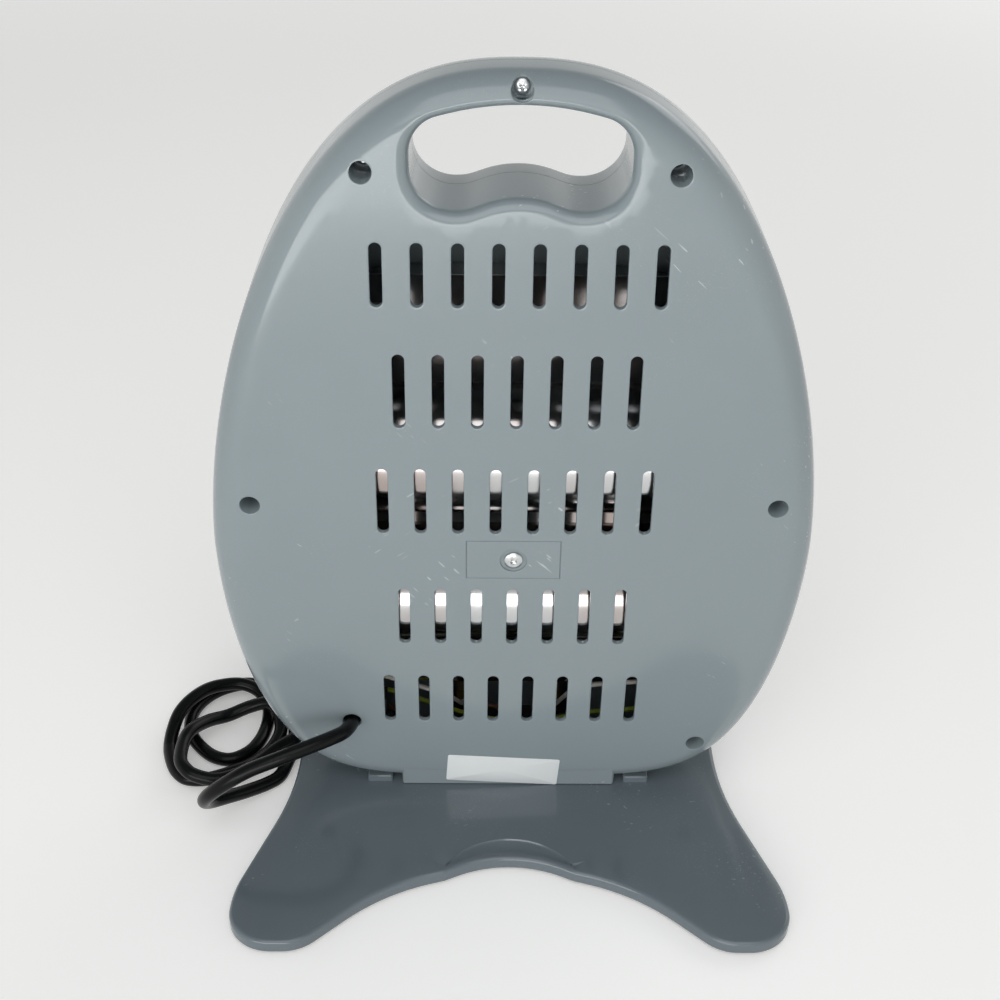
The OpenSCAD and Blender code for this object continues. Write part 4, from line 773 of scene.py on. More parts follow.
class Workshop:
    """Makes materials out of finishes and the shared shader groups."""

    def __init__(self) -> None:
        """Builds the groups once."""
        self.wear = make_wear_group()
        self.relief = make_relief_group()
        self.lines = make_line_group()
        self.made: dict[str, bpy.types.Material] = {}

    def material(self, finish: Finish) -> bpy.types.Material:
        """Makes the finish's material once and keeps it.

        Args:
            finish: The finish to make.

        Returns:
            Its material.
        """
        if finish.name in self.made:
            return self.made[finish.name]
        material = bpy.data.materials.new(finish.name)
        material.use_nodes = True
        material.node_tree.nodes.clear()
        t = NodeTree(material.node_tree)
        place = t.node("ShaderNodeTexCoord").outputs["Object"]

        def group(source: ShaderGroup, values: dict[str, float]) -> bpy.types.bpy_prop_collection:
            """Places a shared group over the piece."""
            return t.node("ShaderNodeGroup", {**values, "Vector": place}, node_tree=source.tree).outputs

        def mix(share: bpy.types.NodeSocket, strength: float, first: object,
                second: object) -> bpy.types.NodeSocket:
            """Mixes two colours by a weakened share."""
            return t.mixed(t.math("MULTIPLY", share, strength), first, second)

        wear = group(self.wear, {"Scratch amount": finish.scratches, "Smear amount": finish.smears,
                                 "Dust amount": finish.dust})
        relief = group(self.relief, {"Fine scale": finish.fine_scale, "Fine share": finish.fine_share,
                                     "Slow scale": finish.slow_scale})
        colour = mix(relief["Tone"], finish.tone, linear(finish.colour), linear(finish.worn_and_reflection_tone))
        if finish.scratches:
            colour = mix(wear["Scratches"], SCRATCH_SHARE, colour, linear(SCRATCH_COLOUR))
        if finish.dust:
            colour = mix(wear["Dust"], DUST_SHARE, colour, linear(DUST_COLOUR))
        rough = t.node("ShaderNodeMapRange", {
            "To Min": max(SMOOTHEST, finish.roughness - finish.rough_spread / 3),
            "To Max": min(1.0, finish.roughness + finish.rough_spread), "Value": wear["Smears"]}, clamp=True)
        height = relief["Skin"]
        if finish.lines is not None:
            height = group(self.lines, {"Across": finish.lines[0], "Along": finish.lines[1]})["Lines"]
        bump = t.node("ShaderNodeBump", {
            "Strength": finish.bump, "Distance": finish.bump_mm * MM, "Height": height})
        shader = t.node("ShaderNodeBsdfPrincipled", {
            "Base Color": colour, "Roughness": rough.outputs[0], "Metallic": finish.metallic,
            "IOR": finish.ior, "Coat Weight": finish.coat, "Coat Roughness": COAT_ROUGHNESS,
            "Transmission Weight": finish.clear, "Normal": bump.outputs[0]})
        t.node("ShaderNodeOutputMaterial", {0: shader.outputs[0]})
        self.made[finish.name] = material
        return material


SHELL = Finish("shell_plastic", "808b8f", "889397", roughness=0.2, rough_spread=0.08, coat=0.3, bump=0.05,
               bump_mm=0.03, scratches=0.4, smears=0.6, dust=0.12, fine_scale=420.0, fine_share=0.35)
# The base is the same plastic as the shell; its darker colour is painted shade for the dimmer light on the
# level plate.
BASE = Finish("base_plastic", "5f696f", "677177", roughness=0.2, rough_spread=0.12, coat=0.15, bump=0.04,
              bump_mm=0.03, scratches=0.15, smears=0.6, dust=0.15, fine_scale=420.0, fine_share=0.3)
DARK = Finish("black_plastic", "1c1d1f", "26272a", roughness=0.42, bump=0.25, bump_mm=0.03, fine_scale=2600.0)
ROCKER = Finish("rocker_red", "a52a22", "b5382c", roughness=0.22, coat=0.4, bump=0.05, scratches=0.3)
ZINC = Finish("zinc", "cfd2d3", "e2e4e4", roughness=0.34, rough_spread=0.2, metallic=1.0, bump=0.15,
              fine_scale=2200.0, scratches=0.4)
# The brown second tone is spread at random like a heat tint and stands in for brown reflections in the
# troughs: painted reflection.
BRIGHT_SHEET = Finish("bright_sheet", "cfd1d2", "9c7a6c", roughness=0.17, rough_spread=0.18, metallic=1.0,
                      tone=0.6, bump=0.12, bump_mm=0.02, lines=(1400.0, 8.0), smears=0.8)
GALVANISED = Finish("galvanised", "a9adaf", "c3c7c8", roughness=0.36, rough_spread=0.2, metallic=1.0,
                    bump=0.15, slow_scale=90.0, tone=0.6)
CHROME = Finish("guard_chrome", "c9cccd", "dcdedf", roughness=0.14, rough_spread=0.12, metallic=1.0,
                bump=0.05, dust=0.05)
QUARTZ = Finish("quartz", "f4f1ea", "e8e2d6", roughness=0.16, rough_spread=0.1, clear=0.86, ior=1.46,
                bump=0.12, bump_mm=0.05, lines=(700.0, 6.0), dust=0.05)
HEAT_WIRE = Finish("heat_wire", "5c4238", "7e6052", roughness=0.45, metallic=0.9, bump=0.2, fine_scale=3000.0,
                   tone=0.7)
CERAMIC = Finish("ceramic", "e6e1d3", "d6cfbe", roughness=0.62, bump=0.3, bump_mm=0.05, fine_scale=2400.0)
NYLON = Finish("nylon", "dcdad2", "cfccc2", roughness=0.45, bump=0.12, fine_scale=1600.0)
BRASS = Finish("brass", "b99a55", "cdb272", roughness=0.24, rough_spread=0.2, metallic=1.0, bump=0.08,
               scratches=0.4)
BAKELITE = Finish("bakelite", "33291f", "43362a", roughness=0.4, bump=0.15, fine_scale=1500.0)
RUBBER = Finish("rubber", "1b1b1c", "29292a", roughness=0.75, bump=0.4, bump_mm=0.06, fine_scale=3000.0,
                dust=0.4)
CORD = Finish("cord_pvc", "070808", "101112", roughness=0.3, rough_spread=0.16, bump=0.12, bump_mm=0.05,
              slow_scale=60.0, fine_scale=1600.0, tone=0.6, dust=0.03, ior=1.25)
LABEL = Finish("label_film", "dde1e2", "eef0f0", roughness=0.2, rough_spread=0.15, coat=0.3, bump=0.05,
               scratches=0.2, dust=0.3)
LIVE = Finish("core_brown", "6b4127", "7b4d30", roughness=0.4, bump=0.08)
NEUTRAL = Finish("core_blue", "27539b", "3461a8", roughness=0.4, bump=0.08)
EARTH = Finish("core_green_yellow", "8fa52e", "b3bb33", roughness=0.4, bump=0.08)
SLEEVE = Finish("glass_sleeve", "d9d6cf", "c8c4ba", roughness=0.8, bump=0.6, bump_mm=0.12, fine_scale=2600.0)


# ---------------------------------------------------------------- camera and light


@dataclass
class Lamp:
    """A soft area lamp: where it hangs and looks, its size in metres and its power in watts."""

    name: str
    at: Point
    towards: Point
    size: Pair
    power: float


@dataclass
class Studio:
    """The camera, the pale floor and the soft light."""

    place_mm: Point = (14.354, 567.6, 520.294)
    down_deg: float = 32.5
    turn_deg: float = -0.87
    roll_deg: float = 0.88
    lens_mm: float = 54.0
    film_mm: float = 36.0
    nearest: float = 0.01
    floor_reach: float = 40000.0
    floor_roughness: float = 0.7
    floor_colours: tuple[str, str] = ("f4f3f1", "f4f4f2")
    floor_lift: tuple[float, float, float, float] = (1.1, 3.2, 0.26, 0.6)
    sky_fade: Pair = (0.22, 0.7)
    sky_low: tuple[str, str] = ("f1f1f0", "f4f4f2")
    sky_high: str = "8a8d8f"
    sky_strength: Pair = (0.9, 1.0)
    lamps: tuple[Lamp, ...] = (
        Lamp("ceiling", (0.0, 1.3, 1.9), (0, -0.2, 0.1), (2.0, 1.6), 15),
        Lamp("window", (0.55, 1.6, 0.36), (0.1, 0, 0.33), (1.6, 0.7), 13),
        Lamp("room", (-1.6, -1.7, 1.5), (0, 0, 0.1), (1.6, 1.2), 8))

    def camera(self) -> None:
        """Sets the camera at the photograph's viewpoint."""
        down, turn, roll = (math.radians(v) for v in (self.down_deg, self.turn_deg, self.roll_deg))
        ahead = Vector((math.sin(turn) * math.cos(down), -math.cos(turn) * math.cos(down), -math.sin(down)))
        right = ahead.cross(Vector((0, 0, 1))).normalized()
        up = right.cross(ahead)
        right, up = math.cos(roll) * right + math.sin(roll) * up, math.cos(roll) * up - math.sin(roll) * right
        data = bpy.data.cameras.new("camera")
        data.lens = self.lens_mm
        data.sensor_width = self.film_mm
        data.clip_start = self.nearest
        camera = bpy.data.objects.new("camera", data)
        bpy.context.scene.collection.objects.link(camera)
        matrix = camera.matrix_world.copy()
        for k in range(3):
            matrix[k][0], matrix[k][1], matrix[k][2] = right[k], up[k], -ahead[k]
            matrix[k][3] = self.place_mm[k] * MM
        camera.matrix_world = matrix
        bpy.context.scene.camera = camera

    def hang(self, lamp: Lamp) -> None:
        """Adds a lamp that only its light shows."""
        data = bpy.data.lights.new(lamp.name, "AREA")
        data.shape = "RECTANGLE"
        data.size, data.size_y = lamp.size
        data.energy = lamp.power
        hung = bpy.data.objects.new(lamp.name, data)
        bpy.context.scene.collection.objects.link(hung)
        hung.visible_camera = False
        hung.location = lamp.at
        hung.rotation_euler = (Vector(lamp.towards) - Vector(lamp.at)).to_track_quat("-Z", "Y").to_euler()

    def seen_rays(self, t: NodeTree) -> bpy.types.NodeSocket:
        """Tells the rays that show a thing, straight, mirrored or through glass, from those that light it.

        Args:
            t: The node tree of the floor or the world.

        Returns:
            The socket that is 1 for such rays.
        """
        path = t.node("ShaderNodeLightPath").outputs
        through = t.math("MAXIMUM", path["Is Camera Ray"], path["Is Transmission Ray"])
        return t.math("MAXIMUM", through, path["Is Glossy Ray"])

    def floor(self) -> None:
        """Lays the pale floor, which shows lighter the further away it is."""
        form = Form()
        corners = [(-1, -1, 0), (1, -1, 0), (1, 1, 0), (-1, 1, 0)]
        form.faces.append(tuple(form.add(np.array(corners, float) * self.floor_reach)))
        mesh = form.mesh("floor")
        floor = bpy.data.objects.new("floor", mesh)
        bpy.context.scene.collection.objects.link(floor)
        material = bpy.data.materials.new("floor_white")
        material.use_nodes = True
        t = NodeTree(material.node_tree)
        spot = t.node("ShaderNodeNewGeometry").outputs["Position"]
        away = t.node("ShaderNodeVectorMath", {0: spot}, operation="LENGTH").outputs["Value"]
        ends = dict(zip(("From Min", "From Max", "To Min", "To Max"), self.floor_lift))
        rise = t.node("ShaderNodeMapRange", {**ends, "Value": away}, interpolation_type="SMOOTHSTEP")
        base, glow = (linear(colour) for colour in self.floor_colours)
        paint = t.tree.nodes["Principled BSDF"].inputs
        t.feed(paint["Roughness"], self.floor_roughness)
        t.feed(paint["Base Color"], base)
        t.feed(paint["Emission Color"], glow)
        t.feed(paint["Emission Strength"], t.math("MULTIPLY", self.seen_rays(t), rise.outputs[0]))
        mesh.materials.append(material)

    def sky(self) -> None:
        """Sets the world's light, which is greyer overhead and stronger where it is seen."""
        world = bpy.data.worlds.new("studio")
        bpy.context.scene.world = world
        world.use_nodes = True
        t = NodeTree(world.node_tree)
        place = t.node("ShaderNodeTexCoord").outputs["Generated"]
        up = t.node("ShaderNodeSeparateXYZ", {0: place}).outputs["Z"]
        low, high = self.sky_fade
        height = t.node("ShaderNodeMapRange", {"From Min": low, "From Max": high, "Value": up}).outputs[0]
        lit, seen = (t.node("ShaderNodeBackground", {
            "Color": t.mixed(height, linear(below), linear(self.sky_high)), "Strength": strength}).outputs[0]
            for below, strength in zip(self.sky_low, self.sky_strength))
        blend = t.node("ShaderNodeMixShader", {0: self.seen_rays(t), 1: lit, 2: seen})
        t.feed(t.tree.nodes["World Output"].inputs[0], blend.outputs[0])

    def build(self) -> None:
        """Builds it all."""
        self.camera()
        self.floor()
        self.sky()
        for lamp in self.lamps:
            self.hang(lamp)


# ---------------------------------------------------------------- the body


@dataclass
class Cut:
    """A hole or pocket in a shell's face: its outline for each growth, and the steps down its wall."""

    outline: Callable[[float], Outline]
    edge: float = 0.35
    depth: float | None = None
    inner: float = 0.0


@dataclass
class Loop:
    """A closed line on a shell's face, with its known distances from the face's edges and its depth."""

    outline: Outline
    name: str = ""
    from_egg: float | None = None
    from_hole: float | None = None
    sunk: float = 0.0


@dataclass
class BodySizes:
    """Sizes of the egg-shaped body, in millimetres."""

    width: float = 262.0
    height: float = 348.5
    low: float = 7.5
    waist: float = 142.5
    rear: float = 33.0
    front: float = 27.3
    seam: float = -1.0
    tunnel_seam: float = -6.0
    gap: float = 0.3
    wall: float = 2.5
    edge_r: float = 12.0
    crown_r: float = 1300.0
    side_crown_r: float = 8500.0
    crown: float = 167.5
    handle_w: float = 85.0
    handle_h: float = 39.8
    grip_h: float = 11.7
    handle_rise: float = 5.4
    rim_r: float = 5.0
    slot_pitch: float = 16.0
    slot_w: float = 5.0
    well_d: float = 8.6
    mouth: Pair = (176.0, 196.0)
    mouth_up: float = 156.5
    skirt_back: float = -4.125
    boss_r: float = 3.5
    well_under: float = 2.5
    outline_points: int = 360
    rows: tuple[tuple[int, float, float], ...] = (
        (8, 259.3, 285.5), (7, 206.3, 239.2), (8, 154.7, 186.6), (7, 93.8, 125.0), (8, 44.8, 73.8))
    wells: tuple[tuple[float, float, float], ...] = (
        (0.0, 342.85, 12.97), (60.77, 312.5, 6.0), (-60.77, 312.5, 6.0), (112.3, 168.0, 6.0),
        (-112.3, 168.0, 6.0), (88.93, 30.0, 6.0), (-88.93, 30.0, 6.0))
    centre_up: float = 140.7
    exit_at: Pair = (74.3, 44.0)
    blunt_top: Pair = (2.45, 1.72)
    blunt_low: Pair = (5.1, 1.78)
    blunt_mouth: float = 5.0
    seat_r: float = 5.85
    seat_deep: float = 1.2
    seat_back: float = 2.3
    exit_r: float = 4.1
    exit_edge: float = 1.05
    panel: Pair = (20.7, 10.15)
    panel_up: float = 0.35
    groove: Pair = (0.3, 0.4)
    apron: Pair = (51.5, 15.0)
    grip_screw_x: float = 12.0
    grip_boss_y: float = 18.81
    console: tuple[float, float, float] = (41.0, 17.0, 8.0)
    console_up: float = 29.0
    console_y: float = -22.22
    opening: tuple[float, float, float] = (23.0, 6.75, 10.27)
    sheet_bosses: tuple[Pair, ...] = ((85.0, 51.5), (85.0, 253.5), (101.5, 128.7), (101.5, 152.7))
    sheet_y: float = -2.525


class HeaterBody:
    """The two shells of the body, with their slots, wells and handle."""

    def __init__(self, sizes: BodySizes) -> None:
        """Works out the outlines.

        Args:
            sizes: The body's sizes.
        """
        self.s = s = sizes
        top = superellipse(s.width / 2, s.height - s.waist, s.blunt_top, 2 * s.outline_points)
        bottom = superellipse(s.width / 2, s.waist, s.blunt_low, 2 * s.outline_points)
        both = np.vstack([top[top[:, 1] >= 0], bottom[bottom[:, 1] < 0]])
        both = both[np.argsort(np.arctan2(both[:, 1], both[:, 0]) % (2 * np.pi))]
        self.egg = evenly(both + [0, s.low + s.waist], s.outline_points)
        high = s.low + s.height - s.grip_h
        low = high - s.handle_h
        half = s.handle_w / 2
        self.hole = evenly(rounded(mirrored([
            (0, low + s.handle_rise + 2.6, 40), (half / 2, low, 18), (half, low, 17), (half, high - 7.2, 14),
            (0, high + 3.8, 114)]), 3.0), 200)

    def face(self, side: Side, points: np.ndarray, skin: float) -> np.ndarray:
        """The crowned face's place along Y at each point, so far inside the outer surface."""
        s = self.s
        across, up = points[:, 0], points[:, 1] - s.low - s.crown
        sag = up**2 / (2 * s.crown_r) + across**2 / (2 * s.side_crown_r)
        return (s.rear - skin - sag) if side is Side.REAR else (sag + skin - s.front)

    def cuts(self, side: Side) -> dict[str, Cut]:
        """The holes and pockets of one face."""
        s = self.s
        if side is Side.FRONT:
            (half, tall), blunt = (v / 2 for v in s.mouth), (s.blunt_mouth, s.blunt_mouth)
            w, h, r = s.console
            z = s.low + s.console_up
            return {
                "mouth": Cut(lambda g: superellipse(half + g, tall + g, blunt, 240) + [0, s.low + s.mouth_up],
                             edge=1.0, inner=2.0),
                "console": Cut(lambda g: rounded([(w + g, z - h - g, r), (w + g, z + h + g, r),
                                                  (-w - g, z + h + g, r), (-w - g, z - h - g, r)]),
                               edge=0.4, inner=-s.wall)}
        found: dict[str, Cut] = {}
        r = s.slot_w / 2
        for row, (count, low, high) in enumerate(s.rows):
            for i in range(count):
                x = (i - (count - 1) / 2) * s.slot_pitch
                found[f"slot_{row}_{i}"] = Cut(
                    lambda g, x=x, low=low, high=high: stadium(x, s.low + low + r, s.low + high - r, r + g))
        for i, (x, up, floor) in enumerate(s.wells):
            found[f"well_{i}"] = Cut(lambda g, x=x, z=s.low + up: circle(x, z, s.well_d / 2 + g), depth=floor,
                                     edge=0.3, inner=1.6 if i else 1.0)
        found["seat"] = Cut(lambda g: circle(0, s.low + s.centre_up, s.seat_r + g), edge=0.2,
                            depth=s.rear - s.seat_deep, inner=-1.35)
        x, up = s.exit_at
        found["exit"] = Cut(lambda g, x=x, z=s.low + up: circle(x, z, s.exit_r + g), edge=s.exit_edge)
        return found

    def loops(self, side: Side, skin: float) -> list[Loop]:
        """Lists the lines that one skin of a face keeps.

        Args:
            side: The half of the body.
            skin: How far inside the outer surface the skin lies.

        Returns:
            The rings of both rounded edges, the cuts and, at the back, the engraved rectangle.
        """
        s = self.s
        outer = skin == 0
        steps = 10 if outer else 4
        turns = [1 - math.cos(math.pi / 2 * k / steps) for k in range(steps + 1)]
        egg, hole = inset(self.egg, skin), inset(self.hole, -skin)
        radius, rim = s.edge_r - skin, s.rim_r - skin
        found = [Loop(inset(egg, radius * t), "" if t else "egg", from_egg=radius * t) for t in turns]
        found += [Loop(inset(hole, -rim * t), "" if t else "hole", from_hole=rim * t) for t in turns]
        for name, cut in self.cuts(side).items():
            grow = cut.edge if outer else cut.inner
            found.append(Loop(cut.outline(grow), name))
            if outer:
                found.append(Loop(cut.outline(grow + 0.5)))
        if outer and side is Side.REAR:
            wide, deep = s.groove
            z = s.low + s.centre_up + s.panel_up
            for grow, sunk in ((0.0, 0.0), (wide, deep), (2 * wide, 0.0)):
                w, h = (v - grow for v in s.panel)
                found.append(Loop(np.array([(w, z - h), (w, z + h), (-w, z + h), (-w, z - h)]), sunk=sunk))
        return found

    def skin(self, form: Form, side: Side, skin: float) -> dict[str, list[int]]:
        """Lays one skin of a shell's face and gives the rings at its edges.

        Args:
            form: The form it goes into.
            side: The half of the body.
            skin: How far inside the outer surface it lies.

        Returns:
            The point numbers of the ring at the egg's edge, at the handle hole and at each cut.
        """
        outer = skin == 0
        radius, rim = self.s.edge_r - skin, self.s.rim_r - skin
        cuts, loops = self.cuts(side), self.loops(side, skin)
        egg, hole = inset(self.egg, skin), inset(self.hole, -skin)
        pitch = 5.0 if outer else 9.0
        gx, gz = grid_over(egg, pitch, pitch * 0.87)
        gx[1::2] += pitch / 2
        grid = np.stack([gx.ravel(), gz.ravel()], axis=1)
        keep = inside(grid, inset(egg, radius + 1)) & ~inside(grid, inset(hole, -rim - 1))
        for cut in cuts.values():
            keep &= ~inside(grid, cut.outline((cut.edge + 1.4) if outer else cut.inner + 1.0))
        flat, faces, rings = triangulated([loop.outline for loop in loops], [grid[keep]])
        from_egg, from_hole = distance(flat, egg), distance(flat, hole)
        from_egg[~inside(flat, egg)] = 0.0
        from_hole[inside(flat, hole)] = 0.0
        sunk = np.zeros(len(flat))
        for loop, ring in zip(loops, rings):
            if loop.from_egg is not None:
                from_egg[ring] = loop.from_egg
            if loop.from_hole is not None:
                from_hole[ring] = loop.from_hole
            sunk[ring] = np.maximum(sunk[ring], loop.sunk)
        a, b = rounding(from_egg, radius), rounding(from_hole, rim)
        fall = (a**3 + b**3) ** (1 / 3) + sunk
        middle = flat[faces].mean(1)
        keep = inside(middle, egg) & ~inside(middle, hole)
        for cut in cuts.values():
            keep &= ~inside(middle, cut.outline(cut.edge if outer else cut.inner))
        base = form.patch(at_y(flat, self.face(side, flat, skin) - side.value * fall), faces[keep])
        return {loop.name: [base + k for k in ring] for loop, ring in zip(loops, rings) if loop.name}

    def run(self, form: Form, first: list[int], steps: Sequence[tuple[Outline, float | np.ndarray]],
            last: list[int] | None = None) -> list[int]:
        """Joins a ring to further rings, each an outline and its place along Y, and to a last one.

        Args:
            form: The form they go into.
            first: The ring to start from.
            steps: The rings to add.
            last: A ring that is there already, where the run ends.

        Returns:
            The last ring.
        """
        for outline, y in steps:
            ring = form.add(at_y(outline, y))
            form.bridge(first, ring)
            first = ring
        if last is not None:
            form.bridge(first, last)
        return first

    def shell(self, side: Side, name: str, material: bpy.types.Material,
              nodes: Sequence[str]) -> bpy.types.Object:
        """Builds one shell as a closed solid with its slots, wells and handle.

        Args:
            side: Which half of the body.
            name: The piece's name.
            material: Its finish.
            nodes: The CAD nodes it stands for.

        Returns:
            The piece.
        """
        s = self.s
        form = Form()
        way = side.value
        out, inn = self.skin(form, side, 0.0), self.skin(form, side, s.wall)
        rims = (("egg", self.egg, s.wall, s.seam), ("hole", self.hole, -s.wall, s.tunnel_seam))
        for key, edge, wall, seam in rims:
            y = seam + way * s.gap / 2
            self.run(form, out[key], [(edge, y), (inset(edge, wall), y)], inn[key])
        for key, cut in self.cuts(side).items():
            if key == "console":
                self.console(form, out[key], inn[key], cut)
                continue
            steps = []
            for share, drop in ((0.3, 0.3), (0.0, 1.0)):
                line = cut.outline(cut.edge * share)
                steps.append((line, self.face(side, line, 0) - way * cut.edge * drop - self.dip(side, line)))
            if key == "mouth":
                steps += [(line, s.skirt_back), (cut.outline(cut.inner), s.skirt_back)]
            if cut.depth is None:
                self.run(form, out[key], steps, inn[key])
                continue
            x, z = line.mean(0)
            under = s.seat_back if key == "seat" else cut.depth - s.well_under
            form.fan(self.run(form, out[key], [*steps, (line, cut.depth)]), (x, cut.depth, z))
            form.fan(self.run(form, inn[key], [(cut.outline(cut.inner), under)]), (x, under, z))
        if side is Side.REAR:
            self.apron(form)
        self.bosses(form, side)
        piece = form.piece(name, material, Body.HEATER)
        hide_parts(*nodes)
        return piece

    def dip(self, side: Side, points: Outline) -> np.ndarray:
        """How far the rounded edges pull the face back at each point."""
        a = rounding(distance(points, self.egg), self.s.edge_r)
        b = rounding(distance(points, self.hole), self.s.rim_r)
        return side.value * (a**3 + b**3) ** (1 / 3)

    def sheet(self, form: Form, loops: Sequence[Outline], y: float) -> list[list[int]]:
        """Closes an outline with a flat face at one place along Y, with holes in it.

        Args:
            form: The form it goes into.
            loops: The outer edge, and then the holes.
            y: The face's place along Y.

        Returns:
            The point numbers of each loop's ring.
        """
        flat, faces, rings = triangulated(loops)
        middle = flat[faces].mean(1)
        keep = inside(middle, loops[0])
        for hole in loops[1:]:
            keep &= ~inside(middle, hole)
        base = form.patch(at_y(flat, y), faces[keep])
        return [[base + k for k in ring] for ring in rings]

    def console(self, form: Form, outer: list[int], inner: list[int], cut: Cut) -> None:
        """Raises the flat panel that carries the switches, with their two openings.

        Args:
            form: The form it goes into.
            outer: The ring at the panel's edge on the outer skin.
            inner: The ring at its edge on the inner skin.
            cut: The panel's outline.
        """
        s = self.s
        x, w, h = s.opening
        z = s.low + s.console_up
        openings = [rounded([(way * x + w, z - h, 0.6), (way * x + w, z + h, 0.6), (way * x - w, z + h, 0.6),
                             (way * x - w, z - h, 0.6)], 30.0) for way in (-1, 1)]
        front = self.sheet(form, [cut.outline(-0.5), *openings], s.console_y)
        back = self.sheet(form, [cut.outline(cut.inner), *openings], s.console_y + s.wall)
        self.run(form, outer, [(cut.outline(0.0), s.console_y + 0.5)], front[0])
        for above, below in zip([inner, *front[1:]], back):
            form.bridge(above, below)

    def bosses(self, form: Form, side: Side) -> None:
        """Adds the screw bosses behind a shell's face."""
        s = self.s
        if side is Side.FRONT:
            tops = [(x, up, floor - s.well_under) for x, up, floor in s.wells]
            tops += [(way * x, up, s.sheet_y) for x, up in s.sheet_bosses for way in (-1, 1)]
        else:
            tops = [(way * s.grip_screw_x + s.exit_at[0], s.exit_at[1], s.grip_boss_y) for way in (-1, 1)]
        for x, up, top in tops:
            spots = circle(x, s.low + up, s.boss_r, 28)
            foot = self.face(side, spots, s.wall / 2) - self.dip(side, spots)
            form.stack([at_y(spots, foot), at_y(spots, top)])

    def apron(self, form: Form) -> None:
        """Adds the flat tongue that runs down to the base plate."""
        s = self.s
        half, up = s.apron
        spots = []
        for x, soft in ((-half, 0.8), (-half + 0.8, 0.0), (half - 0.8, 0.0), (half, 0.8)):
            low, high = s.low + 0.5, s.low + up
            near, far = self.face(Side.REAR, np.array([[x, low], [x, high]]), 0.1) - soft
            spots.append(at_x(x, np.array([(1.0, low), (near, low), (far, high), (1.0, high)])))
        form.stack(spots)


@dataclass
class PlateSizes:
    """Sizes of the base plate, in millimetres."""

    width: float = 250.0
    depth: float = 242.6
    waist: float = 207.4
    arch: float = 70.3
    foot_r: float = 20.0
    low: float = 1.5
    thick: float = 6.0
    skin: float = 2.4
    rim: float = 2.4
    round_r: float = 2.0
    round_steps: int = 6
    step_r: float = 34.0
    step_up: float = 23.0
    step_deep: float = 1.0
    post_r: float = 8.5
    screw_x: float = 44.0
    screw_ys: Pair = (-8.0, 7.0)
    screw_post_r: float = 6.0
    lug_low: Point = (56.5, 9.0, 7.0)
    lug_high: Point = (68.5, 20.5, 11.1)


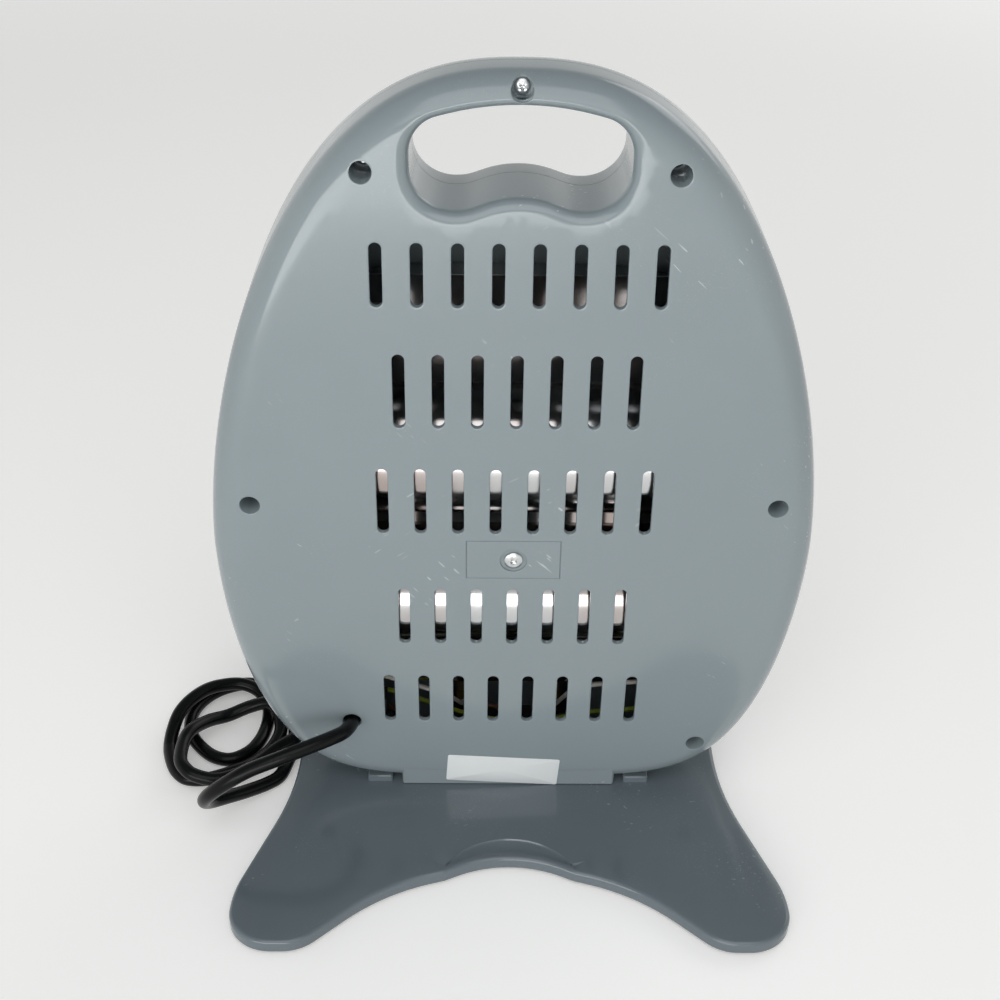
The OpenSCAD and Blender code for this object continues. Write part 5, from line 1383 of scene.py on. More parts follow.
class BasePlate:
    """The butterfly-shaped base plate, with its lugs, step and ribs."""

    def __init__(self, sizes: PlateSizes) -> None:
        """Works out the outline.

        Args:
            sizes: The plate's sizes.
        """
        self.s = s = sizes
        half, deep = s.width / 2, s.depth / 2
        quarter = [(s.waist / 2, 26, 150), (half, deep - 30, 55), (half, deep, s.foot_r),
                   (half - 33, deep, s.foot_r), (56.6, s.arch + 17.3, 95), (30, s.arch + 9.8, 4),
                   (0, s.arch - 5.2, 54)]
        back = list(reversed(quarter[:-1]))
        corners = [*quarter, *[(-x, y, r) for x, y, r in back], *[(-x, -y, r) for x, y, r in quarter],
                   *[(x, -y, r) for x, y, r in back]]
        self.outline = rounded(corners, 3.0)

    def flat(self, form: Form, outline: Outline, z: float,
             steps: Sequence[tuple[Outline, float]] = ()) -> list[int]:
        """Closes an outline with a level face, with sunk or raised steps inside it.

        Args:
            form: The form it goes into.
            outline: The face's edge.
            z: Its height.
            steps: Further outlines inside it, each with the height inside it.

        Returns:
            The ring at the edge.
        """
        loops, heights = [outline], [z]
        for shape, height in steps:
            loops += [inset(shape, -0.35), inset(shape, 0.0), inset(shape, 0.6)]
            heights += [z, height * 0.75 + z * 0.25, height]
        gx, gy = grid_over(outline, 8.0, 8.0)
        grid = np.stack([gx.ravel(), gy.ravel()], axis=1)
        flat, faces, rings = triangulated(loops, [grid[inside(grid, inset(outline, 2.0))]])
        level = np.full(len(flat), z)
        for shape, height in steps:
            level[inside(flat, inset(shape, 0.3))] = height
        for ring, height in zip(rings, heights):
            level[ring] = height
        base = form.patch(np.column_stack([flat, level]), faces[inside(flat[faces].mean(1), outline)])
        return [base + k for k in rings[0]]

    def build(self, material: bpy.types.Material) -> bpy.types.Object:
        """Builds the plate.

        Args:
            material: Its finish.

        Returns:
            The piece.
        """
        s = self.s
        form = Form()
        top = s.low + s.thick
        steps = [(self.clipped(circle(0, way * (s.arch + s.step_up), s.step_r, 120)), top - s.step_deep)
                 for way in (1, -1)]
        above = self.flat(form, inset(self.outline, s.round_r), top, steps)
        turns = [math.pi / 2 * k / s.round_steps for k in range(s.round_steps - 1, -1, -1)]
        rings = [(s.round_r * (1 - math.cos(a)), top - s.round_r * (1 - math.sin(a))) for a in turns]
        for depth, z in (*rings, (0.0, s.low + 0.3), (0.3, s.low), (s.rim, s.low)):
            ring = form.add(at_z(inset(self.outline, depth), z))
            form.bridge(above, ring)
            above = ring
        form.bridge(above, self.flat(form, inset(self.outline, s.rim), top - s.skin))
        for sx in (-1, 1):
            for sy in (-1, 1):
                self.post(form, sx * (s.width / 2 - s.foot_r), sy * (s.depth / 2 - s.foot_r), s.post_r)
            for y in s.screw_ys:
                self.post(form, sx * s.screw_x, y, s.screw_post_r)
            x0, x1 = sorted((sx * s.lug_low[0], sx * s.lug_high[0]))
            form.block((x0, *s.lug_low[1:]), (x1, *s.lug_high[1:]), 0.6)
        form.block((-s.waist / 2 + 3, -0.8, s.low + 0.2), (s.waist / 2 - 3, 0.8, top - s.skin + 0.3), 0.2)
        piece = form.piece("stand_plate", material, Body.HEATER)
        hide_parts("base_plate")
        return piece

    def clipped(self, disc: Outline) -> Outline:
        """The part of a round step that lies on the plate."""
        keep = disc[inside(disc, inset(self.outline, 3.0))]
        start = int(np.argmax(np.linalg.norm(np.roll(keep, 1, axis=0) - keep, axis=1)))
        keep = np.roll(keep, -start, axis=0)
        edge = inset(self.outline, 3.2)
        near = edge[inside(edge, disc)]
        gap = int(np.argmax(np.linalg.norm(np.roll(near, 1, axis=0) - near, axis=1)))
        near = np.roll(near, -gap, axis=0)
        if np.linalg.norm(near[0] - keep[-1]) > np.linalg.norm(near[-1] - keep[-1]):
            near = near[::-1]
        return np.vstack([keep, near])

    def post(self, form: Form, x: float, y: float, radius: float) -> None:
        """Adds a boss under the plate's skin."""
        s = self.s
        form.stack([at_z(circle(x, y, radius, 40), z) for z in (s.low + 0.2, s.low + s.thick - s.skin + 0.3)])


# ---------------------------------------------------------------- fasteners


@dataclass(frozen=True)
class Screw:
    """A pan head screw's sizes, in millimetres."""

    head_d: float
    head_h: float
    shank_d: float
    length: float


@dataclass
class Fastenings:
    """The pan head screws, made with a workshop's finishes and the tree that scatters them.

    The cross recess's arm and blade are shares of the head's radius, its depth a share of the head's
    height and the thread's root a share of the shank's radius.
    """

    shop: Workshop
    scatter: GeometryTree
    arm: float = 0.56
    blade: float = 0.15
    deep: float = 0.6
    thread_pitch: float = 1.3
    thread_root: float = 0.8

    def master(self, screw: Screw) -> bpy.types.Object:
        """Makes one pan head screw with a cross recess, its seat at the origin and its head along Z.

        Args:
            screw: The screw's sizes.

        Returns:
            A hidden master object.
        """
        form = Form()
        r, high = screw.head_d / 2, screw.head_h
        arm, blade, deep = r * self.arm, r * self.blade, high * self.deep
        dome = [(r * math.cos(t), high * (0.35 + 0.65 * math.sin(t))) for t in np.linspace(0.0, 1.2, 7)]
        a = np.linspace(0, 2 * np.pi, 48, endpoint=False)
        round_ring = np.stack([np.cos(a), np.sin(a)], axis=1)
        rings = [at_z(q * round_ring, h) for q, h in ((r * 0.97, 0.0), (r, high * 0.1), *dome)]
        c, s = (np.maximum(np.abs(v), 1e-6) for v in round_ring.T)
        reach = np.maximum(np.minimum(arm / c, blade / s), np.minimum(arm / s, blade / c))
        cross = reach[:, None] * round_ring
        top = high * 0.985
        rings += [at_z(cross * 1.06, top), at_z(cross, top - 0.12), at_z(cross * 0.55, high - deep)]
        head = form.stack(rings, closed=False)
        form.fan(head[-1], (0, 0, high - deep * 1.15))
        steps = 2 * max(3, round(screw.length / self.thread_pitch))
        thread = [(screw.shank_d / 2 * (1 if k % 2 else self.thread_root), -screw.length * 0.92 * k / steps)
                  for k in range(steps + 1)]
        shank = form.stack([at_z(q * round_ring[::3], h) for q, h in thread], closed=False)
        for ring, tip in ((shank[-1], -screw.length), (shank[0], 0.1), (head[0], 0.0)):
            form.fan(ring, (0, 0, tip))
        return bpy.data.objects.new("screw_master", join_meshes([form.mesh("screw_master")]))

    def screws(self, name: str, nodes: Sequence[str], spots: Sequence[Point], turn: Point, screw: Screw,
               seed: int) -> None:
        """Places a group of equal screws.

        Args:
            name: The piece's name.
            nodes: The CAD nodes it stands for.
            spots: Where the heads' seats are.
            turn: The turn that brings Z to the heads' way, in degrees.
            screw: The screw's sizes.
            seed: The seed of each screw's own turn.
        """
        master = self.master(screw)
        mesh = self.scatter.run(points_mesh(spots), {
            "Master": master, "Turn": tuple(math.radians(v) for v in turn), "Seed": seed, "Spin": math.pi / 2,
            "Finish": self.shop.material(ZINC)})
        bpy.data.objects.remove(master)
        piece = finish_piece(name, mesh, None, Body.HEATER)
        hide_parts(*nodes)


# ---------------------------------------------------------------- guard and heating


@dataclass
class GuardSizes:
    """Sizes of the wire guard, in millimetres."""

    place_y: float = -22.8
    bulge: float = 8.0
    inset: float = 2.5
    rim_d: float = 3.0
    bar_d: float = 2.0
    pitch: float = 13.0
    spare: float = 8.0
    step: float = 11.0
    bend_r: float = 6.0


@dataclass
class Guard:
    """The bulging wire guard before the mouth."""

    sizes: GuardSizes
    body: BodySizes
    bend: GeometryTree
    shop: Workshop

    def build(self) -> None:
        """Builds the guard."""
        s, body = self.sizes, self.body
        points: list[Point] = []
        edges: list[tuple[int, int]] = []

        def run(line: Sequence[Point]) -> None:
            """Adds one wire's points and the edges between them."""
            at = len(points)
            points.extend(line)
            edges.extend((at + k, at + k + 1) for k in range(len(line) - 1))

        middle, blunt = body.low + body.mouth_up, body.blunt_mouth
        wide, tall = (v / 2 - s.inset for v in body.mouth)
        front = s.place_y - s.bulge
        count = int((body.mouth[1] - 3 * s.rim_d - s.spare) // s.pitch) + 1
        for i in range(count):
            up = (i - (count - 1) / 2) * s.pitch
            h, z = wide * (1 - (abs(up) / tall) ** blunt) ** (1 / blunt), middle + up
            run([(-h, s.place_y, z), (-h + s.step, front, z), (h - s.step, front, z), (h, s.place_y, z)])
        low, high = middle - tall, middle + tall
        for x in (-body.mouth[0] / 4, 0.0, body.mouth[0] / 4):
            y = front + s.bar_d * 0.6
            run([(x, s.place_y, low), (x, y, low + s.step), (x, y, high - s.step), (x, s.place_y, high)])
        chrome = self.shop.material(CHROME)
        bars = self.bend.run(points_mesh(points, edges), {
            "Thickness": s.bar_d * MM, "Bend radius": s.bend_r * MM, "Bend steps": 7, "Sides": 12,
            "Finish": chrome})
        ring = superellipse(wide, tall, (blunt, blunt), 220)
        closed = [(k, (k + 1) % len(ring)) for k in range(len(ring))]
        rim = self.bend.run(points_mesh(at_y(ring + [0, middle], s.place_y), closed), {
            "Thickness": s.rim_d * MM, "Bend radius": 0.0, "Bend steps": 1, "Sides": 16, "Finish": chrome})
        piece = finish_piece("guard_wires", join_meshes([bars, rim], outwards=False), chrome, Body.HEATER)
        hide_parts("guard_grille")


@dataclass
class HeaterSizes:
    """Sizes of the reflector and the tubes, in millimetres."""

    apex_y: float = 25.5
    sheet_t: float = 0.8
    trough: float = 33.0
    focal: float = 10.0
    width: float = 182.0
    sheet_low: float = 53.0
    sheet_top: float = 267.0
    axes_z: Pair = (112.2, 184.2)
    tube_y: float = 14.7
    tube_l: float = 196.0
    coil_d: float = 7.0
    coil_wire: float = 1.2
    coil_spare: float = 24.0
    turns: int = 22


@dataclass
class HeatingUnit:
    """The double-trough reflector with its two quartz tubes."""

    sizes: HeaterSizes
    sheet_y: float
    wind: GeometryTree
    shop: Workshop

    def profile(self) -> np.ndarray:
        """The sheet's front line as Y and Z, from low to high."""
        s, y = self.sizes, self.sheet_y
        across = np.linspace(-s.trough, s.trough, 45)
        troughs = [(s.apex_y - s.sheet_t - q * q / (4 * s.focal), z + q) for z in s.axes_z for q in across]
        return np.array([(y, s.sheet_low), (y, s.sheet_low + 1), *troughs, (y, s.sheet_top - 1),
                         (y, s.sheet_top)])

    def reflector(self) -> None:
        """Builds the bright sheet."""
        s = self.sizes
        front = self.profile()
        along = np.gradient(front, axis=0)
        along /= np.linalg.norm(along, axis=1)[:, None]
        back = front + s.sheet_t * np.stack([along[:, 1], -along[:, 0]], axis=1)
        form = Form()
        spots = np.linspace(-s.width / 2, s.width / 2, 15)
        rings = form.stack([at_x(x, np.vstack([front, back[::-1]])) for x in spots], closed=False)
        n = len(front)
        for ring in (rings[0], rings[-1]):
            ahead, behind = ring[:n], ring[:n - 1:-1]
            form.faces += list(zip(ahead, ahead[1:], behind[1:], behind))
        piece = form.piece("reflector_sheet", self.shop.material(BRIGHT_SHEET), Body.HEATER, 40.0)
        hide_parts("reflector")

    def coils(self) -> None:
        """Winds the two heating coils."""
        s, wire = self.sizes, self.shop.material(HEAT_WIRE)
        length, radius = s.tube_l - s.coil_spare, (s.coil_d - s.coil_wire) / 2
        for name, node, z in zip(("lower_winding", "upper_winding"), ("lower_coil", "upper_coil"), s.axes_z):
            mesh = self.wind.run(points_mesh([(0, s.tube_y, z)]), {
                "Turns": float(s.turns), "Steps": 20, "Radius": radius * MM, "Length": length * MM,
                "Thickness": s.coil_wire * MM, "Sides": 8, "Finish": wire})
            form = Form()
            for way in (-1, 1):
                end = way * length / 2
                form.tube(np.array([(way * s.tube_l / 2, s.tube_y, z), (end + way * 1.5, s.tube_y, z),
                                    (end, s.tube_y, z + radius)]), s.coil_wire, 8)
            piece = finish_piece(name, join_meshes([mesh, form.mesh("ends")]), wire, Body.HEATER, 60.0)
            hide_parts(node)


# ---------------------------------------------------------------- controls


@dataclass
class RockerSizes:
    """Sizes of the two rocker switches, in millimetres."""

    gap: float = 46.0
    z: float = 36.5
    pivot_y: float = -21.622
    length: float = 16.0
    width: float = 10.4
    reach: float = 3.2
    dip: float = 2.2
    back: Pair = (1.2, 4.2)
    soft: float = 0.5
    pin_r: float = 1.2
    pin_l: float = 1.3
    tilt_deg: float = 10.0
    stroke: Pair = (2.9, 5.7)
    ring_r: float = 1.4
    ring_z: float = -4.3


@dataclass
class Controls:
    """The two rockers with their marks."""

    sizes: RockerSizes
    shop: Workshop

    def face(self, z: float | np.ndarray) -> float | np.ndarray:
        """The hollow face's place along Y at each height above the pivot."""
        s = self.sizes
        return -s.reach + (s.reach - s.dip) * (1 - (z / (s.length / 2)) ** 2)

    def placed(self, points: np.ndarray, x: float) -> np.ndarray:
        """Tilts a rocker's points as it rests and brings them to its pivot."""
        s = self.sizes
        tilt = math.radians(s.tilt_deg)
        c, q = math.cos(tilt), math.sin(tilt)
        y, z = points[:, 1], points[:, 2]
        return np.column_stack([points[:, 0] + x, y * c - z * q + s.pivot_y, y * q + z * c + s.z])

    def marks(self, x: float) -> Form:
        """Makes the stroke above and the ring below, as raised lines."""
        s = self.sizes
        form = Form()
        heights = np.linspace(*s.stroke, 7)
        stroke = np.column_stack([np.zeros(7), self.face(heights) + 0.02, heights])
        form.tube(self.placed(stroke, x), 0.6, 10)
        ring = circle(0, s.ring_z, s.ring_r, 40)
        form.tube(self.placed(at_y(ring, self.face(ring[:, 1]) + 0.02), x), 0.55, 10, looped=True)
        return form

    def rocker(self, name: str, node: str, x: float, body: Body) -> None:
        """Builds one rocker, tilted as it rests.

        Args:
            name: The piece's name.
            node: The CAD node it stands for.
            x: Its place across the heater.
            body: The body it rides on.
        """
        s = self.sizes
        end, half, soft = s.length / 2, s.width / 2, s.soft
        near, far = s.back
        heights = np.linspace(-end, end, 17)
        back = np.array([(near, end), (far, end / 3), (far, -end / 3), (near, -end)])
        profile = np.vstack([np.stack([self.face(heights), heights], axis=1), back])[::-1]
        form = Form()
        steps = ((half, soft), (half - soft * 0.3, soft * 0.3), (half - soft, 0.0))
        sections = [*[(-x, shrink) for x, shrink in steps], *reversed(steps)]
        form.stack([self.placed(at_x(across, inset(profile, shrink)), x) for across, shrink in sections])
        pin = half + s.pin_l
        form.stack([self.placed(at_x(a, circle(0, 0, s.pin_r, 20)), x) for a in (-pin, pin)])
        piece = form.piece(name, self.shop.material(ROCKER), body)
        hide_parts(node)
        ink = self.marks(x).piece(name + "_marks", self.shop.material(NYLON), body)

    def build(self) -> None:
        """Builds both rockers."""
        half = self.sizes.gap / 2
        self.rocker("rocker_left", "left_rocker", half, Body.LEFT_ROCKER)
        self.rocker("rocker_right", "right_rocker", -half, Body.RIGHT_ROCKER)


# ---------------------------------------------------------------- wiring and cord


@dataclass
class WireRun:
    """One wire inside the body: its points, colour and the CAD node that it stands for."""

    name: str
    node: str
    slot: str
    finish: Finish
    points: tuple[Point, ...]


@dataclass
class WireSizes:
    """Sizes that the inner wires share, in millimetres."""

    diameter: float = 2.2
    tail_end: Point = (74.3, 6.81, 51.5)
    core_r: float = 1.45
    straight: float = 2.5

    def core(self, angle: float) -> tuple[Point, Point]:
        """Gives the first two points of a core that leaves the cord's end at an angle, in degrees."""
        x, y, z = self.tail_end
        a = math.radians(angle)
        x, z = x + self.core_r * math.cos(a), z + self.core_r * math.sin(a)
        return (x, y, z), (x, y - self.straight, z)


def inner_wires(s: WireSizes) -> list[WireRun]:
    """Lists the wires inside the body.

    Args:
        s: The sizes they share.

    Returns:
        The wires, with their points in millimetres.
    """
    return [
        WireRun("wire_earth", "earth_wire", "wire_green_yellow", EARTH, (
            *s.core(90), (67, 1, 51.6), (52, 3, 49), (34, 8, 46), (12, 16, 45), (-14, 18, 45), (-38, 14, 47),
            (-62, 12, 48), (-82, 9, 53), (-95, 6, 66.2), (-101, 6, 84.2), (-100, 6, 100), (-97.5, 6, 106),
            (-96, 6, 106))),
        WireRun("wire_live", "live_wire", "wire_brown", LIVE, (
            *s.core(210), (68, 0.5, 46), (58, 1, 38), (47, 3, 32), (38, 10.1, 29), (36, 10.1, 27),
            (36, 10.1, 22.2))),
        WireRun("wire_neutral", "neutral_wire", "wire_blue", NEUTRAL, (
            *s.core(330), (72, -1.5, 46), (60, -2.5, 35), (46, 0, 29), (33, 7, 34), (30.5, 10.1, 31),
            (30, 10.1, 27), (30, 10.1, 22.2))),
        WireRun("wire_tip", "tip_lead", "wire_brown", LIVE, (
            (24, 4.9, 22.2), (24, 4.9, 27), (22, 6.5, 36), (16, 8, 46), (7, 9, 46), (4, 9, 43.5),
            (4, 9, 41))),
        WireRun("lead_upper_tube", "upper_tube_lead", "wire_white", SLEEVE, (
            (23, -2.22, 40.5), (23, 0.28, 40.5), (30, 8, 52), (50, 10, 62), (80, 14, 76.2), (101, 18, 90.2),
            (110, 20, 106.2), (110, 21, 122.2), (104.6, 22, 140.2), (104.6, 24.5, 160.5),
            (104.6, 24.5, 174.5), (105, 24.5, 184.2), (105, 19.7, 184.2), (105, 15.7, 184.2))),
        WireRun("lead_lower_tube", "lower_tube_lead", "wire_white", SLEEVE, (
            (-23, -2.22, 40.5), (-23, 0.28, 40.5), (-34, 4, 54), (-60, 7, 60), (-84, 14, 66.2),
            (-102, 20, 78.2), (-103, 24.5, 94.2), (-105, 24.5, 112.2), (-105, 19.7, 112.2),
            (-105, 15.7, 112.2))),
    ]


@dataclass
class CordSizes:
    """The mains cord, in millimetres."""

    diameter: float = 6.8
    exit_at: Point = (74.3, 23.81, 51.5)
    store_centre: Pair = (0.0, -118.0)
    store_out: float = 39.6
    store_in: float = 27.0
    turns: float = 3.25
    layer: float = 7.6
    sides: int = 20
    route: tuple[Point, ...] = (
        (74.3, 23.81, 51.5), (74.3, 28, 51.5), (77, 37.5, 54.3), (83, 44.5, 56.2), (94.5, 51, 55.6),
        (105.5, 55, 53.3), (118, 57.5, 49), (126, 59, 44.8), (134.5, 58.5, 37.6), (140, 55.5, 30.1),
        (142.5, 50.5, 22.5), (141, 43.5, 15.8), (135, 35, 10.6), (127.5, 27, 6.6), (118.5, 18.5, 3.8),
        (113, 12.5, 3.4), (110.5, 3, 3.4), (108.8, -7.5, 3.4), (109, -19, 3.4), (111.5, -31, 3.4),
        (116.2, -43, 3.4), (123.5, -53, 3.4), (134.5, -58, 3.4), (142, -58, 3.4), (152, -53.5, 3.4),
        (159.5, -45.5, 3.4), (163.5, -35.5, 3.4), (163.5, -25, 3.4), (160, -14.5, 3.4), (152, -4.5, 3.4),
        (145, 0, 3.4), (138, 0.5, 3.4), (130.5, -5, 3.4), (126, -14, 3.4), (124, -25.5, 3.4),
        (124.5, -37, 3.4), (127, -44, 4.8), (131.5, -49, 6.7), (138, -51.5, 8.4), (145.5, -51, 9.5),
        (155.5, -46, 10.9), (163, -37.5, 11.5), (168.5, -28, 10.1), (171, -18.5, 6.3), (171, -7.5, 3.4),
        (167.5, 4, 3.4), (163.5, 11, 3.4), (158, 15, 3.4), (148.5, 15, 3.4), (138, 10.5, 3.4),
        (127.5, 4, 3.4), (120.5, -5.5, 3.4), (116.5, -16.5, 4.4), (116.5, -23.5, 6.8), (118.5, -29.5, 9.9),
        (123.5, -33.5, 11.5), (133.5, -34, 8.4), (144.5, -30, 5.8), (153.5, -22.5, 8.5), (160, -12, 11.6),
        (162.5, -3, 11.5), (162, 9.5, 11.6), (158.5, 16.5, 11.5), (153, 20, 10.3), (143, 20.5, 8.3),
        (132.5, 15.5, 7.7), (123, 8, 8.8), (115, 0.5, 10.9), (107, -6.5, 11.6), (102, -15.5, 11.3),
        (98.5, -29.5, 10.9), (94, -43, 10.9), (87, -55, 10.9), (77, -66.5, 10.9), (65, -77.5, 11),
        (54, -87, 11), (46, -95.5, 7.8), (41, -102.5, 4.4), (39.6, -107, 3.4))
    lead: tuple[Point, ...] = ((-11, -157.6, 11), (-15, -157.6, 10.6), (-24, -157.6, 8.8), (-34, -157.6, 7),
                               (-40, -157.6, 6.4), (-46, -157.6, 6.4), (-50, -157.6, 6.4))
    plug_at: Pair = (-157.6, 6.4)
    plug_rows: tuple[Point, ...] = (
        (-63.4, 4.4, 4.4), (-64.2, 7.0, 5.4), (-65.5, 8.4, 5.9), (-68, 9.4, 6.1), (-72, 11.2, 6.2),
        (-76, 12.5, 6.3), (-80, 12.95, 6.35), (-90, 13.0, 6.38), (-98.5, 13.0, 6.38), (-99.5, 12.7, 6.1),
        (-100, 12.0, 5.5))
    sleeve: tuple[float, float, float, float] = (-47.0, 3.55, 3.75, 4.3)
    sleeve_end: Pair = (-64.0, 4.9)
    sleeve_taper: float = 1 / 16
    rib_pitch: float = 3.2
    rib_count: int = 5
    grip_rib: Point = (1.1, 15.0, 0.9)
    grip_from: float = -75.5
    grip_pitch: float = 2.6
    grip_count: int = 6
    grip_out: float = 5.9
    pin_gap: float = 8.0
    pin_profile: tuple[Pair, ...] = (
        (0, -119.0), (1.0, -119.0), (1.7, -118.6), (2.0, -117.6), (2.0, -100.0), (0, -99.5))


@dataclass
class MainsCord:
    """The mains cord, from the body to its plug, with the stored length wound up."""

    sizes: CordSizes
    shop: Workshop

    def store(self) -> list[Point]:
        """The turns of the stored length: in on the floor and out again on top."""
        s = self.sizes
        count = math.ceil(24 * s.turns)
        x, y = s.store_centre
        result = []
        for i in range(count + 1):
            t, a = i / count, 2 * math.pi * i / 24
            r = s.store_out - (s.store_out - s.store_in) * (1 - abs(2 * t - 1))
            climb = min(max(2 * s.turns * (t - 0.5) + 0.5, 0), 1)
            result.append((x + r * math.cos(a), y - r * math.sin(a), s.diameter / 2 + s.layer * climb))
        return result

    def build(self) -> None:
        s = self.sizes
        centre = smooth_line([*s.route, *self.store(), *s.lead], 1.6)
        centre[:, 2] = np.maximum(centre[:, 2], s.diameter / 2)
        form = Form()
        form.tube(centre, s.diameter, s.sides)
        cord = form.piece("mains_cord", self.shop.material(CORD), Body.HEATER, 80.0, merge=False)
        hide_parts("power_cord", "cord_store", "plug_lead")
        plug = self.plug()
        length = float(np.linalg.norm(np.diff(centre, axis=0), axis=1).sum()) * MM
        log.info("cord length %.4f m", length)
        tuple(v * MM for v in s.exit_at)

    def plug(self) -> list[bpy.types.Object]:
        """Builds the plug's moulded body and its pins.

        Returns:
            The plug's pieces.
        """
        s = self.sizes
        y0, z0 = s.plug_at
        form = Form()

        def section(x: float, half_w: float, half_t: float, power: float = 4.0) -> np.ndarray:
            """Gives the plug's section at one place along it."""
            return at_x(x, superellipse(half_w, half_t, (power, power), 56) + [y0, z0])

        form.stack([section(*row) for row in s.plug_rows])
        first, tip_r, dip_r, crest_r = s.sleeve
        ribs = [(first + 1.0, tip_r)]
        for k in range(s.rib_count):
            x, wider = first - s.rib_pitch * k, s.rib_pitch * k * s.sleeve_taper
            dip = dip_r + wider * 0.6
            ribs += [(x, crest_r + wider), (x - 1.7, crest_r + 0.05 + wider), (x - 2.0, dip), (x - 2.9, dip)]
        form.stack([section(x, r, r, 2.0) for x, r in (*ribs, s.sleeve_end)])
        half = np.array(s.grip_rib) / 2
        for x in (s.grip_from - s.grip_pitch * k for k in range(s.grip_count)):
            for z in (z0 - s.grip_out, z0 + s.grip_out):
                middle = np.array((x, y0, z))
                form.block(tuple(middle - half), tuple(middle + half), 0.3)
        plug = form.piece("plug_moulding", self.shop.material(CORD), Body.HEATER)
        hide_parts("plug_body")
        pins = Form()
        for way in (-1, 0, 1):
            pins.lathe(s.pin_profile, lambda a, b, h, y=y0 + way * s.pin_gap: (h, y + a, z0 + b), 32)
        brass = pins.piece("plug_contacts", self.shop.material(BRASS), Body.HEATER)
        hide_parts("plug_pins")
        return [plug, brass]


@dataclass
class SmallSizes:
    """Sizes of the label and the pads, in millimetres."""

    label: Pair = (54.0, 18.0)
    label_at: Pair = (3.3, 9.3)
    label_corner: float = 1.0
    label_turn: float = -3.4
    pad_at: Pair = (105.0, 101.3)
    pad_profile: tuple[Pair, ...] = ((0, 0.0), (5.9, 0.0), (6.7, 0.3), (7.0, 0.9), (7.0, 2.5), (0, 2.5))


# ---------------------------------------------------------------- the whole heater


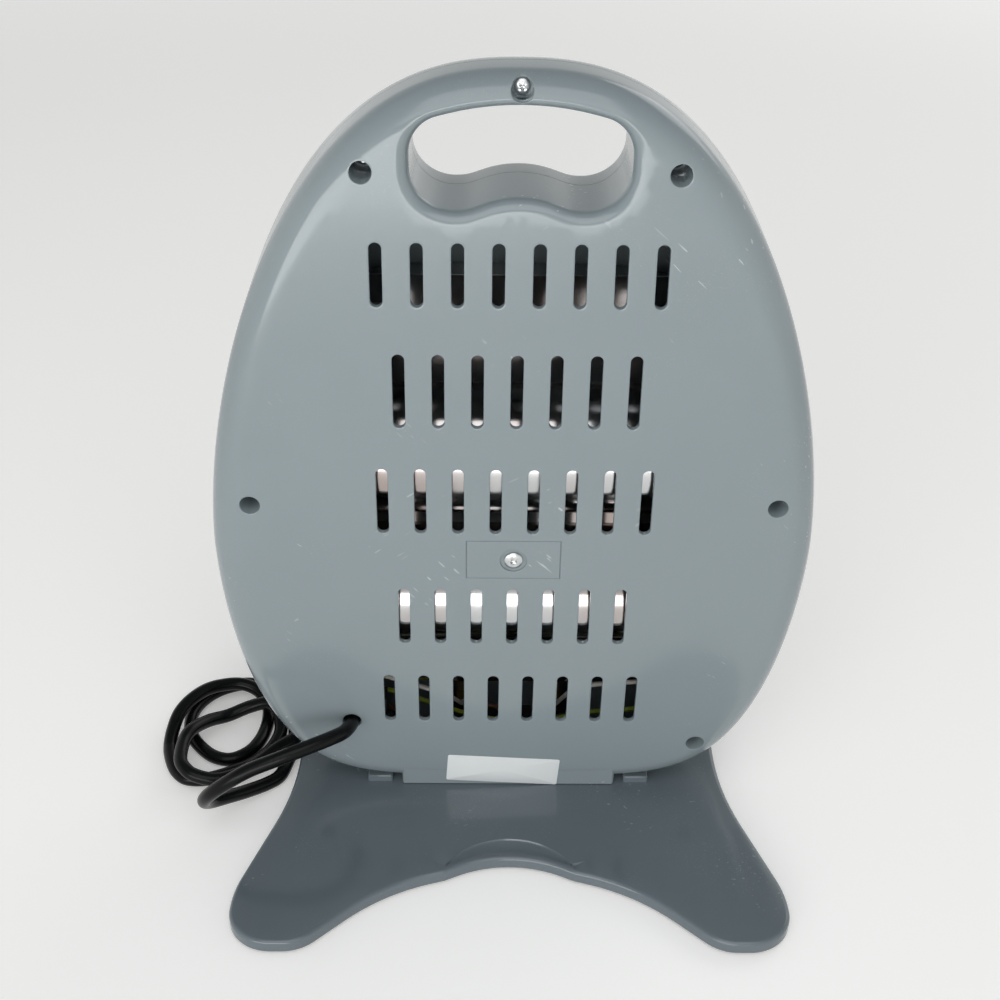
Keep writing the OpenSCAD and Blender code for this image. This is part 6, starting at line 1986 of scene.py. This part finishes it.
class Heater:
    """Builds the pieces and dresses the CAD nodes that stay."""

    CARRIED: dict[str, Finish] = {
        "guard_clips": GALVANISED, "upper_tube": QUARTZ, "lower_tube": QUARTZ, "tube_ends": CERAMIC,
        "tube_pins": BRASS, "left_bracket": GALVANISED, "right_bracket": GALVANISED,
        "left_switch_housing": DARK, "right_switch_housing": DARK, "switch_tabs": BRASS,
        "tip_switch_housing": DARK, "tip_plunger": NYLON, "tip_spring": ZINC, "thermal_cutout": BAKELITE,
        "terminal_block": NYLON, "cord_grip": DARK, "cord_tail": CORD, "centre_nut": ZINC}

    def __init__(self) -> None:
        """Sets up the workshop and the node trees."""
        self.shop = Workshop()
        self.scatter = make_scatter_tree()
        self.bend = make_wire_tree()
        self.wind = make_coil_tree()

    def label(self, body: HeaterBody, s: SmallSizes) -> None:
        """Builds the bare label on the apron."""
        turn = math.radians(s.label_turn)
        (w, h), r = s.label, s.label_corner
        form = Form()
        outline = rounded([(w / 2, 0, r), (w / 2, h, r), (-w / 2, h, r), (-w / 2, 0, r)], 15)
        rings = []
        for lift, shrink in ((-0.03, 0.0), (0.12, 0.0), (0.16, 0.06)):
            across, up = inset(outline, shrink).T
            flat = np.stack([across * math.cos(turn) + up * math.sin(turn) + s.label_at[0],
                             -across * math.sin(turn) + up * math.cos(turn) + s.label_at[1]], axis=1)
            rings.append(at_y(flat, body.face(Side.REAR, flat, 0.0) + lift))
        form.stack(rings)
        piece = form.piece("bare_label", self.shop.material(LABEL), Body.HEATER)
        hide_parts("blank_label")

    def pads(self, s: SmallSizes) -> None:
        """Builds the four rubber pads."""
        form = Form()
        for sx in (-1, 1):
            for sy in (-1, 1):
                x, y = sx * s.pad_at[0], sy * s.pad_at[1]
                form.lathe(s.pad_profile, lambda a, b, h, x=x, y=y: (x + a, y + b, h), 40)
        piece = form.piece("rubber_pads", self.shop.material(RUBBER), Body.HEATER)
        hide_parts("base_pads")

    def fasteners(self, s: BodySizes, plate: PlateSizes) -> None:
        """Places every group of screws."""
        made = Fastenings(self.shop, self.scatter)
        back, front, up, down = (-90, 0, 0), (90, 0, 0), (0, 0, 0), (180, 0, 0)
        made.screws("cover_screw_set", ["cover_screws"], [(x, floor, s.low + z) for x, z, floor in s.wells],
                    back, Screw(6.4, 2.2, 3.0, 14.0), 5)
        made.screws("centre_screw_head", ["centre_screw"], [(0, s.rear - s.seat_deep, s.low + s.centre_up)],
                    back, Screw(8.2, 1.8, 4.0, 36.0), 2)
        made.screws("base_screw_set", ["base_screws"],
                    [(x, y, 4.2) for x in (-plate.screw_x, plate.screw_x) for y in plate.screw_ys],
                    down, Screw(6.4, 2.2, 3.0, 15.3), 7)
        made.screws("reflector_screw_set", ["reflector_screws"],
                    [(x, -1.725, z) for x in (-85, 85) for z in (59.0, 261.0)],
                    back, Screw(6.4, 2.2, 3.0, 8.0), 4)
        made.screws("bracket_screw_set", ["bracket_screws"],
                    [(x, -1.525, z) for x in (-101.5, 101.5) for z in (136.2, 160.2)],
                    back, Screw(5.6, 2.2, 3.0, 8.0), 9)
        made.screws("cutout_screw_set", ["cutout_screws"], [(x, -0.725, 250.0) for x in (60, 84)],
                    back, Screw(5.0, 1.8, 3.0, 3.2), 11)
        made.screws("grip_screw_set", ["cord_grip_screws"], [(x, 9.81, 51.5) for x in (62.3, 86.3)],
                    front, Screw(6.4, 2.2, 3.0, 15.0), 6)
        made.screws("tip_switch_screw_set", ["tip_switch_screws"], [(x, 9, 16) for x in (-15, 15)],
                    up, Screw(6.4, 2.2, 3.0, 5.8), 8)
        made.screws("terminal_screw_head", ["terminal_screw"], [(33, 7.5, 25)],
                    up, Screw(4.6, 2.2, 2.4, 15.5), 1)

    def wires(self) -> None:
        """Lays the wires inside the body."""
        sizes = WireSizes()
        for run in inner_wires(sizes):
            form = Form()
            form.tube(smooth_line(run.points, 1.5), sizes.diameter, 12)
            piece = form.piece(run.name, self.shop.material(run.finish), Body.HEATER, 80.0, merge=False)
            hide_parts(run.node)

    def carried(self) -> None:
        """Dresses the CAD nodes that stay."""
        for name, finish in self.CARRIED.items():
            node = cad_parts[name]
            node.data.materials.clear()
            node.data.materials.append(self.shop.material(finish))
            log.info("%s: dressed as %s", name, finish.name)

    def build(self) -> None:
        """Builds the whole heater."""
        sizes, plate, small = BodySizes(), PlateSizes(), SmallSizes()
        MainsCord(CordSizes(), self.shop).build()
        body = HeaterBody(sizes)
        shell = self.shop.material(SHELL)
        body.shell(Side.REAR, "rear_shell", shell, ["rear_cover"])
        body.shell(Side.FRONT, "front_shell", shell, ["front_frame"])
        BasePlate(plate).build(self.shop.material(BASE))
        self.label(body, small)
        self.pads(small)
        self.fasteners(sizes, plate)
        Guard(GuardSizes(), sizes, self.bend, self.shop).build()
        unit = HeatingUnit(HeaterSizes(), sizes.sheet_y, self.wind, self.shop)
        unit.reflector()
        unit.coils()
        Controls(RockerSizes(), self.shop).build()
        self.wires()
        self.carried()


def main() -> None:
    """Builds the studio and the heater."""
    logging.basicConfig(level=logging.INFO, format="%(message)s")
    Studio().build()
    Heater().build()
    bpy.context.scene.view_settings.view_transform = "Standard"


if __name__ == "__main__":
    main()
